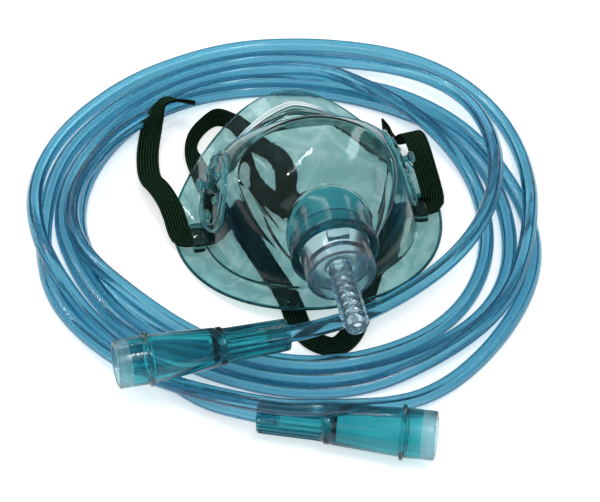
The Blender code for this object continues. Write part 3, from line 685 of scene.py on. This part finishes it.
coat(swivel_cup, clear_plastic(
    "clear_connector", tint=(0.78, 0.86, 0.89), wall=CONNECTOR_WALL, roughness=0.12,
    ripple=0.00002, ripple_scale=300, shade=(0.90, 0.93, 0.94), milk=0.06))
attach(swivel_cup, "swivel")
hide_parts("swivel_connector")


# Head strap: flat knitted elastic, dark green, with eight raised warp ribs over a fine weft.
# It is threaded through both lugs, its two tails are loose and the rest lies under the mask.

# The strap's middle line in metres, with its lean, the degrees of its width to the table.
STRAP_ROUTE = [
    (-0.0314, 0.0725, 0.0144, 47), (-0.0360, 0.0738, 0.0150, 44), (-0.0400, 0.0748, 0.0152, 30),
    (-0.0428, 0.0752, 0.0138, 14), (-0.0455, 0.0746, 0.0098, 4), (-0.0480, 0.0724, 0.0055, 0),
    (-0.0498, 0.0680, 0.0028, 0), (-0.0511, 0.0625, 0.0020, 0), (-0.0520, 0.0555, 0.0026, 0),
    (-0.0524, 0.0480, 0.0045, 0), (-0.0521, 0.0412, 0.0072, 0), (-0.0508, 0.0362, 0.0090, 0),
    (-0.0492, 0.0318, 0.0090, 0), (-0.0476, 0.0265, 0.0080, 0), (-0.0466, 0.0212, 0.0066, 0),
    (-0.0460, 0.0160, 0.0050, 0), (-0.0450, 0.0133, 0.0040, 0), (-0.0425, 0.0130, 0.0037, 0),
    (-0.0385, 0.0130, 0.0036, 0), (-0.0345, 0.0132, 0.0036, 0), (-0.0296, 0.0215, 0.0028, 15),
    (-0.0304, 0.0310, 0.0015, 6), (-0.0324, 0.0429, 0.0013, 5), (-0.0346, 0.0535, 0.0028, 25),
    (-0.0345, 0.0620, 0.0043, 70), (-0.0301, 0.0698, 0.0042, 88), (-0.0235, 0.0747, 0.0042, 88),
    (-0.0176, 0.0705, 0.0042, 80), (-0.0133, 0.0634, 0.0034, 45), (-0.0089, 0.0578, 0.0014, 5),
    (-0.0046, 0.0532, 0.0010, 0), (-0.0028, 0.0441, 0.0010, 0), (-0.0045, 0.0351, 0.0010, 0),
    (-0.0042, 0.0271, 0.0010, 0), (-0.0034, 0.0206, 0.0014, 0), (-0.0047, 0.0181, 0.0030, 0),
    (-0.0074, 0.0202, 0.0042, 0), (-0.0108, 0.0263, 0.0036, 0), (-0.0135, 0.0354, 0.0038, 40),
    (-0.0138, 0.0444, 0.0042, 80), (-0.0151, 0.0514, 0.0042, 88), (-0.0181, 0.0515, 0.0042, 88),
    (-0.0203, 0.0446, 0.0042, 88), (-0.0221, 0.0346, 0.0042, 80), (-0.0235, 0.0246, 0.0034, 40),
    (-0.0226, 0.0156, 0.0014, 5), (-0.0194, 0.0025, 0.0010, 0), (-0.0162, -0.0096, 0.0010, 0),
    (-0.0135, -0.0216, 0.0010, 0), (-0.0123, -0.0327, 0.0010, 0), (-0.0088, -0.0403, 0.0010, 0),
    (-0.0029, -0.0439, 0.0010, 0), (0.0028, -0.0406, 0.0010, 0), (0.0081, -0.0320, 0.0010, 0),
    (0.0125, -0.0215, 0.0010, 0), (0.0174, -0.0122, 0.0010, 0), (0.0235, -0.0055, 0.0010, 0),
    (0.0283, 0.0060, 0.0014, 0), (0.0308, 0.0112, 0.0027, 0), (0.0345, 0.0130, 0.0036, 0),
    (0.0385, 0.0130, 0.0036, 0), (0.0425, 0.0130, 0.0037, 0), (0.0442, 0.0132, 0.0039, 0),
    (0.0451, 0.0142, 0.0048, 0), (0.0452, 0.0162, 0.0066, 0), (0.0448, 0.0195, 0.0094, 0),
    (0.0442, 0.0235, 0.0124, 0), (0.0437, 0.0280, 0.0150, 0), (0.0433, 0.0322, 0.0166, 0),
    (0.0430, 0.0365, 0.0166, 0), (0.0426, 0.0408, 0.0144, 2), (0.0419, 0.0442, 0.0108, 8),
    (0.0409, 0.0463, 0.0076, 24), (0.0400, 0.0487, 0.0056, 55), (0.0386, 0.0519, 0.0047, 78),
    (0.0368, 0.0575, 0.0044, 84),
]
STRAP_STEP = 0.0012
STRAP_RIBS = 8
RIB_HEIGHT = 0.00038
RIB_POINTS = 5


def smooth_route(points, spacing):
    ends = [2 * points[0] - points[1]] + list(points) + [2 * points[-1] - points[-2]]
    route = []
    for before, start, stop, after in zip(ends, ends[1:], ends[2:], ends[3:]):
        count = max(1, round((stop - start).to_3d().length / spacing))
        route += [spline_value(before, start, stop, after, step / count) for step in range(count)]
    return route + [points[-1]]


strap_samples = smooth_route([Vector(knot) for knot in STRAP_ROUTE], STRAP_STEP)
strap_line = [sample.to_3d() for sample in strap_samples]
strap_length = sum((stop - start).length for start, stop in zip(strap_line, strap_line[1:]))
strap_sides = []
across = None
for index, (place, sample) in enumerate(zip(strap_line, strap_samples)):
    last = len(strap_line) - 1
    ahead = (strap_line[min(index + 1, last)] - strap_line[max(index - 1, 0)]).normalized()
    flat = Vector((-ahead.y, ahead.x, 0.0)).normalized()
    if across and flat.dot(across) < 0:
        flat.negate()
    across = flat
    lean = math.radians(sample.w)
    width = flat * math.cos(lean) + Vector((0, 0, 1)) * math.sin(lean)
    width = (width - ahead * width.dot(ahead)).normalized()
    strap_sides.append((width, ahead.cross(width).normalized()))

half_count = STRAP_RIBS * RIB_POINTS
strap_section = []
for step in range(half_count):
    share = step / half_count
    rib = abs(math.sin(math.pi * STRAP_RIBS * share)) ** 0.6
    strap_section.append(((share - 0.5) * STRAP_WIDTH,
                          STRAP_THICKNESS / 2 - RIB_HEIGHT * (1 - rib)))
strap_section += [(-x, -y) for x, y in strap_section]


def strap_place(column, row):
    x, y = strap_section[column % len(strap_section)]
    width, depth = strap_sides[row]
    return strap_line[row] + width * x + depth * y


strap_shape = laid_grid(len(strap_section), len(strap_line) - 1, strap_place, closed=True)
cut_edges = [edge for edge in strap_shape.edges if edge.is_boundary]
bmesh.ops.holes_fill(strap_shape, edges=cut_edges, sides=0)
bmesh.ops.recalc_face_normals(strap_shape, faces=strap_shape.faces)
head_strap = object_from(strap_shape, "elastic_strap")
shade_smooth(head_strap, 50)

WEFT_PITCH = 0.0007

elastic, tree, shader = new_material("strap_elastic")
shader.inputs["Roughness"].default_value = 0.85
shader.inputs["Specular IOR Level"].default_value = 0.03
coordinates = new_node(tree, "TexCoord")
strap_map = new_node(tree, "SeparateXYZ")
tree.links.new(coordinates.outputs["UV"], strap_map.inputs["Vector"])


def wave_along(axis, turns):
    """A wave from 0 to 1 with this many crests along the strap's width or length."""
    angle = worked_out(tree, "MULTIPLY", strap_map.outputs[axis], math.pi * turns)
    return worked_out(tree, "ABSOLUTE", worked_out(tree, "SINE", angle))


groove_shade_wave = wave_along("X", 2 * STRAP_RIBS)
weft_wave = wave_along("Y", strap_length / WEFT_PITCH)
yarn = new_node(tree, "TexNoise", Scale=1400.0)
tree.links.new(coordinates.outputs["Object"], yarn.inputs["Vector"])
weave = worked_out(tree, "MULTIPLY_ADD", weft_wave, 0.16, yarn.outputs["Fac"])
# Painted shade: the colour goes nearly black in the grooves between the ribs, over the weft and
# yarn pattern.
tree.links.new(colour_ramp(tree, worked_out(tree, "MULTIPLY", weave, groove_shade_wave),
                           (0.20, (0.0005, 0.0022, 0.0011)), (0.60, (0.0125, 0.0370, 0.0195))),
               shader.inputs["Base Color"])
fuzz = new_node(tree, "Bump", Distance=0.0002)
tree.links.new(weave, fuzz.inputs["Height"])
tree.links.new(fuzz.outputs["Normal"], shader.inputs["Normal"])
coat(head_strap, elastic)
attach(head_strap, "mask")
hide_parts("head_strap")


# Tube connectors: soft PVC funnels, one on each end of the tube. A fluted collar grips the
# tube, then a funnel widens to a thin ridge, and a mouth with a pale rim pushes on to a port.

END_LENGTH = 0.0560
END_COLLAR_LENGTH = 0.0215
END_COLLAR_DIAMETER = 0.0104
END_STEP_DIAMETER = 0.0122
END_FUNNEL_DIAMETER = 0.0154
END_RIDGE_DIAMETER = 0.0176
END_RIDGE_AT = 0.0455
END_MOUTH_DIAMETER = 0.0154
END_MOUTH_BORE = 0.0126
END_RIM_LENGTH = 0.0042
END_FLUTES = 18
END_FLUTE_DEPTH = 0.0006
END_STEPS = 144
TUBE_DIAMETER = 0.0055
FRONT_END = (Vector((-0.0198, -0.0508, 0.0180)), Vector((-0.0750, -0.0560, 0.0212)))
REAR_END = (Vector((-0.0335, -0.0738, 0.0075)), Vector((0.0185, -0.0937, 0.0098)))

collar = END_COLLAR_DIAMETER / 2
step_radius = END_STEP_DIAMETER / 2
funnel = END_FUNNEL_DIAMETER / 2
ridge = END_RIDGE_DIAMETER / 2
mouth = END_MOUTH_DIAMETER / 2
tube_bore = TUBE_DIAMETER / 2 + FIT_CLEARANCE
mouth_bore = END_MOUTH_BORE / 2
end_edge = 0.0006
rim_back = END_LENGTH - END_RIM_LENGTH
end_profile = [
    (tube_bore, 0), (collar - end_edge, 0), (collar - end_edge * 0.3, end_edge * 0.3),
    (collar, end_edge), (collar + 0.0001, 0.0014),
    (step_radius - 0.0005, END_COLLAR_LENGTH - 0.0024),
    (step_radius - 0.0004, END_COLLAR_LENGTH - 0.0006), (step_radius + 0.0002, END_COLLAR_LENGTH),
    (step_radius + 0.0002, END_COLLAR_LENGTH + 0.0014), (step_radius, END_COLLAR_LENGTH + 0.0018),
    (step_radius + 0.0003, END_COLLAR_LENGTH + 0.0026),
    (funnel, END_RIDGE_AT - 0.0008), (ridge, END_RIDGE_AT - 0.0002), (ridge, END_RIDGE_AT + 0.0004),
    (mouth + 0.0002, END_RIDGE_AT + 0.0010), (mouth, rim_back),
    (mouth_bore, rim_back), (mouth_bore - 0.0004, END_RIDGE_AT - 0.0050),
    (tube_bore + 0.0012, END_COLLAR_LENGTH + 0.0040),
    (TUBE_DIAMETER / 2 - 0.0006, END_COLLAR_LENGTH + 0.0020),
    (TUBE_DIAMETER / 2 - 0.0006, END_COLLAR_LENGTH), (tube_bore, END_COLLAR_LENGTH)]
rim_profile = [
    (mouth, rim_back - 0.0001), (mouth, END_LENGTH - end_edge),
    (mouth - end_edge * 0.3, END_LENGTH - end_edge * 0.3), (mouth - end_edge, END_LENGTH),
    (mouth_bore + 0.0002, END_LENGTH), (mouth_bore, END_LENGTH - 0.0002),
    (mouth_bore, rim_back - 0.0001)]


def flute(place):
    """Cuts shallow flutes into the outside of the collar."""
    radius = math.hypot(place.x, place.y)
    if 0.0010 < place.z < END_COLLAR_LENGTH - 0.0010 and radius > tube_bore + 0.001:
        wave = math.cos(END_FLUTES * math.atan2(place.y, place.x))
        share = 1 - END_FLUTE_DEPTH / radius * (0.5 + 0.5 * wave)
        return Vector((place.x * share, place.y * share, place.z))
    return place


end_vinyl = clear_plastic(
    "green_connector_vinyl", tint=(0.24, 0.68, 0.72), wall=0.0016, roughness=0.10,
    ripple=0.00006, ripple_scale=200, streak=(0.82, 0.90, 0.90), milk=0.03, bend=1.36)
rim_vinyl = clear_plastic(
    "pale_rim_vinyl", tint=(0.56, 0.76, 0.80), wall=0.0014, roughness=0.24,
    ripple=0.00006, ripple_scale=200, milk=0.10)
tube_ends = []
for name, (narrow, wide) in (("front", FRONT_END), ("rear", REAR_END)):
    tube_end = turned("tube_end_" + name, end_profile, END_STEPS, narrow, wide - narrow,
                      carve=flute)
    shade_smooth(tube_end, 30)
    coat(tube_end, end_vinyl)
    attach(tube_end, "mask")
    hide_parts("tube_connector_" + name)
    rim = turned("tube_end_rim_" + name, rim_profile, END_STEPS, narrow, wide - narrow)
    shade_smooth(rim, 30)
    coat(rim, rim_vinyl)
    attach(rim, "mask")
    tube_ends += [tube_end, rim]


# Supply tube: one length of soft blue PVC tube with a star-shaped bore that can't be kinked
# shut. It runs from the front connector round in five loose turns to the rear connector.

# The tube's middle line in millimetres.
TUBE_ROUTE_MM = [
    (-26.0, -51.4, 18.4), (-14.3, -49.5, 17.0), (-3.2, -45.7, 14.5), (7.5, -41.0, 11.7),
    (18.1, -35.7, 10.3), (28.8, -30.3, 10.6), (39.1, -24.2, 11.7), (48.3, -16.6, 12.6),
    (56.1, -7.5, 12.8), (62.5, 2.6, 12.8), (67.3, 13.6, 12.6), (70.5, 25.1, 12.1),
    (72.1, 37.0, 11.2), (72.0, 48.9, 10.0), (69.9, 60.6, 8.7), (65.1, 71.5, 7.7), (57.5, 80.7, 7.1),
    (48.2, 88.2, 6.3), (38.1, 94.6, 4.9), (27.6, 100.2, 3.5), (16.5, 104.6, 2.8), (4.8, 107.2, 2.8),
    (-7.1, 108.1, 2.8), (-19.0, 107.0, 2.9), (-30.6, 104.0, 2.9), (-41.8, 99.6, 2.9),
    (-52.3, 93.9, 2.9), (-62.0, 86.9, 2.8), (-70.7, 78.6, 2.8), (-78.1, 69.2, 2.9),
    (-84.0, 58.7, 2.8), (-88.1, 47.5, 2.9), (-90.9, 35.9, 2.9), (-92.7, 24.0, 2.9),
    (-93.3, 12.0, 2.8), (-92.5, 0.1, 2.8), (-89.5, -11.5, 2.8), (-84.4, -22.4, 3.1),
    (-78.4, -32.7, 4.4), (-71.7, -42.4, 6.2), (-63.6, -51.1, 7.5), (-54.3, -58.6, 8.7),
    (-44.5, -66.6, 11.6), (-34.4, -74.8, 15.4), (-24.7, -79.8, 16.9), (-14.3, -82.0, 17.0),
    (-3.2, -80.8, 13.4), (8.0, -77.4, 8.0), (19.4, -73.2, 4.2), (31.0, -67.6, 2.9),
    (42.0, -60.0, 2.8), (51.9, -51.0, 2.9), (60.0, -41.7, 2.9), (66.8, -31.8, 2.9),
    (72.0, -21.0, 2.9), (75.3, -9.5, 2.8), (76.4, 2.4, 2.9), (75.9, 14.4, 2.9), (74.2, 26.2, 2.9),
    (71.6, 37.9, 2.9), (67.5, 49.2, 2.9), (61.7, 59.6, 2.9), (54.2, 69.0, 2.9), (45.3, 77.1, 2.9),
    (35.1, 83.3, 2.9), (23.9, 87.6, 2.9), (12.4, 91.0, 2.9), (0.8, 93.9, 2.8), (-11.1, 95.3, 2.8),
    (-23.0, 94.2, 2.9), (-34.4, 90.4, 2.9), (-44.9, 84.7, 2.8), (-54.6, 77.6, 2.8),
    (-63.0, 69.1, 2.9), (-70.0, 59.4, 2.9), (-75.4, 48.7, 2.8), (-78.9, 37.2, 2.8),
    (-80.1, 25.3, 2.9), (-78.8, 13.4, 2.9), (-75.9, 1.8, 2.8), (-71.5, -9.4, 2.8),
    (-65.6, -19.8, 2.9), (-58.2, -29.1, 2.9), (-49.6, -37.5, 2.9), (-40.2, -45.0, 2.9),
    (-30.0, -51.2, 2.8), (-18.9, -55.7, 2.8), (-7.2, -58.1, 2.8), (4.8, -58.1, 2.9),
    (16.6, -56.3, 2.8), (28.1, -52.8, 2.8), (39.0, -47.8, 2.9), (48.8, -40.9, 2.9),
    (56.8, -32.0, 2.9), (62.7, -21.6, 2.9), (66.6, -10.2, 2.8), (68.8, 1.5, 2.9), (69.5, 13.5, 2.9),
    (68.7, 25.5, 2.8), (66.1, 37.1, 2.8), (61.5, 48.2, 2.9), (54.6, 58.0, 2.9), (46.0, 66.3, 2.9),
    (36.4, 73.6, 2.9), (26.1, 79.6, 2.9), (15.1, 84.3, 2.8), (3.6, 87.6, 2.8), (-8.3, 89.5, 2.8),
    (-20.2, 88.8, 3.5), (-31.5, 85.3, 5.2), (-42.3, 80.3, 6.6), (-52.6, 74.3, 7.2),
    (-61.8, 66.6, 7.8), (-69.5, 57.4, 8.2), (-75.9, 47.3, 8.4), (-80.7, 36.3, 8.2),
    (-82.3, 24.5, 7.9), (-80.4, 12.7, 8.0), (-76.0, 1.6, 8.3), (-69.5, -8.5, 7.7),
    (-61.8, -17.4, 5.6), (-53.5, -25.8, 3.5), (-44.8, -34.0, 2.8), (-35.4, -41.4, 2.8),
    (-24.9, -47.2, 2.9), (-13.6, -51.1, 2.9), (-1.7, -52.6, 2.9), (10.2, -51.7, 2.9),
    (21.8, -48.8, 2.8), (32.7, -43.7, 2.8), (42.1, -36.4, 2.9), (49.7, -27.2, 2.9),
    (55.6, -16.7, 2.9), (59.5, -5.4, 2.8), (61.7, 6.4, 2.8), (62.5, 18.3, 2.8), (61.4, 30.2, 3.5),
    (57.9, 41.5, 5.3), (52.7, 52.2, 7.1), (46.5, 62.4, 7.9), (39.1, 71.9, 8.3), (30.9, 80.6, 8.4),
    (22.2, 88.8, 8.0), (12.9, 96.0, 5.6), (2.1, 100.6, 3.3), (-9.8, 101.8, 2.8),
    (-21.7, 100.4, 2.8), (-33.2, 97.0, 2.9), (-44.0, 92.0, 2.9), (-54.0, 85.4, 2.9),
    (-63.0, 77.4, 2.8), (-70.7, 68.2, 2.9), (-77.2, 58.2, 2.9), (-82.1, 47.3, 2.9),
    (-85.1, 35.7, 2.9), (-85.7, 23.7, 2.9), (-84.1, 11.8, 2.9), (-81.1, 0.2, 2.8),
    (-76.8, -11.0, 2.9), (-71.3, -21.6, 2.9), (-64.1, -31.2, 2.9), (-55.8, -39.8, 2.9),
    (-46.5, -47.5, 2.9), (-36.5, -54.0, 2.9), (-25.7, -59.3, 2.8), (-14.3, -62.9, 2.8),
    (-2.4, -64.2, 2.8), (9.5, -63.4, 3.5), (21.1, -60.9, 5.2), (32.3, -56.8, 6.4),
    (42.7, -50.9, 6.7), (52.1, -43.5, 6.8), (60.0, -34.5, 7.0), (66.4, -24.4, 7.3),
    (71.6, -13.6, 7.8), (75.8, -2.3, 8.2), (79.2, 9.1, 7.5), (81.6, 20.7, 5.5), (83.0, 32.5, 3.7),
    (83.0, 44.4, 2.9), (81.2, 56.2, 2.8), (77.6, 67.7, 2.8), (72.2, 78.4, 2.9), (65.1, 88.0, 2.9),
    (56.3, 96.1, 2.9), (46.2, 102.6, 2.9), (35.3, 107.6, 2.8), (23.9, 111.3, 2.9),
    (12.2, 113.9, 2.9), (0.3, 115.5, 2.9), (-11.6, 115.5, 2.9), (-23.5, 113.7, 2.9),
    (-35.0, 110.4, 2.9), (-46.2, 106.0, 2.9), (-56.6, 100.1, 2.9), (-66.2, 92.9, 2.8),
    (-74.9, 84.7, 2.8), (-82.4, 75.3, 2.8), (-88.2, 64.9, 3.1), (-92.1, 53.6, 4.3),
    (-94.2, 42.0, 6.1), (-94.7, 30.1, 7.6), (-93.8, 18.2, 8.2), (-91.2, 6.5, 7.8),
    (-87.1, -4.6, 6.0), (-82.0, -15.2, 3.8), (-75.8, -25.5, 2.9), (-69.0, -35.3, 2.8),
    (-61.5, -44.7, 2.8), (-54.6, -54.0, 3.0), (-47.2, -62.6, 4.4), (-38.2, -69.8, 6.6),
    (-27.9, -75.8, 7.8),
]
TUBE_STEP = 0.0040
TUBE_SIDES = 20
STAR_POINTS = 5
STAR_TIP = 0.00185
STAR_VALLEY = 0.00135

tube_line = smooth_route([Vector(knot) / 1000 for knot in TUBE_ROUTE_MM], TUBE_STEP)
section = bpy.data.curves.new("tube_section", "CURVE")
section.dimensions = "2D"
outer_circle = section.splines.new("POLY")
outer_circle.points.add(TUBE_SIDES - 1)
for index, point in enumerate(outer_circle.points):
    turn = math.tau * index / TUBE_SIDES
    point.co = (TUBE_DIAMETER / 2 * math.cos(turn), TUBE_DIAMETER / 2 * math.sin(turn), 0.0, 1.0)
outer_circle.use_cyclic_u = True
star = section.splines.new("POLY")
star.points.add(STAR_POINTS * 4 - 1)
for index, point in enumerate(star.points):
    turn = -math.tau * index / (STAR_POINTS * 4)
    wave = math.cos(STAR_POINTS * turn)
    radius = (STAR_TIP + STAR_VALLEY) / 2 + (STAR_TIP - STAR_VALLEY) / 2 * wave
    point.co = (radius * math.cos(turn), radius * math.sin(turn), 0.0, 1.0)
star.use_cyclic_u = True
section_item = bpy.data.objects.new("tube_section", section)
bpy.context.scene.collection.objects.link(section_item)
run = bpy.data.curves.new("tube_run", "CURVE")
run.dimensions = "3D"
run.bevel_mode = "OBJECT"
run.bevel_object = section_item
line = run.splines.new("POLY")
line.points.add(len(tube_line) - 1)
for point, place in zip(line.points, tube_line):
    point.co = (*place, 1.0)
run_item = bpy.data.objects.new("tube_run", run)
bpy.context.scene.collection.objects.link(run_item)
graph = bpy.context.evaluated_depsgraph_get()
tube_shape = bmesh.new()
tube_shape.from_mesh(run_item.evaluated_get(graph).to_mesh())
for item in (run_item, section_item):
    bpy.data.objects.remove(item, do_unlink=True)
bmesh.ops.remove_doubles(tube_shape, verts=tube_shape.verts, dist=0.000002)
for tube_tip in (tube_line[0], tube_line[-1]):
    open_edges = [edge for edge in tube_shape.edges
                  if edge.is_boundary and (edge.verts[0].co - tube_tip).length < TUBE_DIAMETER]
    bmesh.ops.bridge_loops(tube_shape, edges=open_edges)
bmesh.ops.recalc_face_normals(tube_shape, faces=tube_shape.faces)
supply_tube = object_from(tube_shape, "supply_tube")
shade_smooth(supply_tube, 60)
coat(supply_tube, clear_plastic(
    "blue_tube_vinyl", tint=(0.39, 0.675, 0.77), wall=0.0012, roughness=0.16,
    ripple=0.00003, ripple_scale=400, milk=0.02, bend=1.40))
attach(supply_tube, "mask")
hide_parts("oxygen_tube_coil", "oxygen_tube_lead_front", "oxygen_tube_lead_rear")


# Studio: a white table in a pale room, with a strip lamp and three windows behind the object,
# and two lamps and a fill in front of it. The camera looks down at 45 degrees from the chin
# side, a little to the left.

TABLE_WIDTH = 6.0
ROOM_LEVEL = 0.05

table = object_from(laid_grid(1, 1, lambda column, row: Vector(
    (TABLE_WIDTH * (column - 0.5), TABLE_WIDTH * (row - 0.5), 0.0))), "table_top")
table_white, tree, shader = new_material("table_white")
shader.inputs["Base Color"].default_value = (0.82, 0.82, 0.82, 1.0)
shader.inputs["Roughness"].default_value = 0.9
shader.inputs["Specular IOR Level"].default_value = 0.0
ray = new_node(tree, "LightPath")
seen = worked_out(tree, "MAXIMUM", ray.outputs["Is Camera Ray"], ray.outputs["Is Glossy Ray"])
seen = worked_out(tree, "MAXIMUM", seen, ray.outputs["Is Transmission Ray"])
glow = new_node(tree, "Emission")
tree.links.new(worked_out(tree, "MULTIPLY", seen, 0.45), glow.inputs["Strength"])
both = new_node(tree, "AddShader")
tree.links.new(shader.outputs["BSDF"], both.inputs[0])
tree.links.new(glow.outputs["Emission"], both.inputs[1])
tree.links.new(both.outputs["Shader"], tree.nodes["Material Output"].inputs["Surface"])
coat(table, table_white)

world = bpy.data.worlds.new("pale_room")
bpy.context.scene.world = world
world.use_nodes = True
tree = world.node_tree
background = tree.nodes["Background"]
background.inputs["Color"].default_value = (1.0, 1.0, 1.0, 1.0)
ray = new_node(tree, "LightPath")
level = ROOM_LEVEL
for kind, weight in (("Camera", 0.95), ("Diffuse", 0.55), ("Transmission", 0.95), ("Glossy", 0.10)):
    level = worked_out(tree, "MULTIPLY_ADD", ray.outputs["Is " + kind + " Ray"], weight, level)
tree.links.new(level, background.inputs["Strength"])


def lamp(name, place, aim, size, watts):
    data = bpy.data.lights.new(name, "AREA")
    data.shape = "RECTANGLE"
    data.size, data.size_y = size
    data.energy = watts
    item = bpy.data.objects.new(name, data)
    item.location = place
    item.rotation_euler = (Vector(aim) - Vector(place)).to_track_quat("-Z", "Y").to_euler()
    bpy.context.scene.collection.objects.link(item)


lamp("strip_lamp", (-0.34, 0.84, 1.08), (0, 0, 0.045), (0.95, 0.006), 3.4)
lamp("back_window", (-0.38, 1.20, 0.66), (0, 0, 0), (0.30, 0.30), 0.8)
lamp("left_window", (-0.95, 0.95, 0.58), (0, 0, 0), (0.20, 0.30), 0.9)
lamp("right_window", (0.95, 0.95, 0.58), (0, 0, 0), (0.14, 0.30), 0.6)
lamp("overhead_lamp", (-0.10, -0.55, 1.30), (0, 0, 0), (0.80, 0.80), 2.8)
lamp("front_lamp", (0.19, -0.42, 1.32), (0, 0, 0), (0.12, 0.50), 3.8)
lamp("left_fill", (-1.2, -0.5, 0.9), (0, 0, 0), (0.8, 0.8), 2.4)

CAMERA_AZIMUTH = math.radians(-11)
CAMERA_ELEVATION = math.radians(45)
CAMERA_DISTANCE = 0.600
CAMERA_TARGET = Vector((-0.00533, 0.00315, 0.0))
back = Vector((math.sin(CAMERA_AZIMUTH) * math.cos(CAMERA_ELEVATION),
               -math.cos(CAMERA_AZIMUTH) * math.cos(CAMERA_ELEVATION), math.sin(CAMERA_ELEVATION)))
camera_data = bpy.data.cameras.new("camera")
camera_data.sensor_width = 36.0
camera_data.lens = 102.84
camera = bpy.data.objects.new("camera", camera_data)
camera.location = CAMERA_TARGET + back * CAMERA_DISTANCE
camera.rotation_euler = back.to_track_quat("Z", "Y").to_euler()
bpy.context.scene.collection.objects.link(camera)
bpy.context.scene.camera = camera
bpy.context.scene.view_settings.view_transform = "Standard"
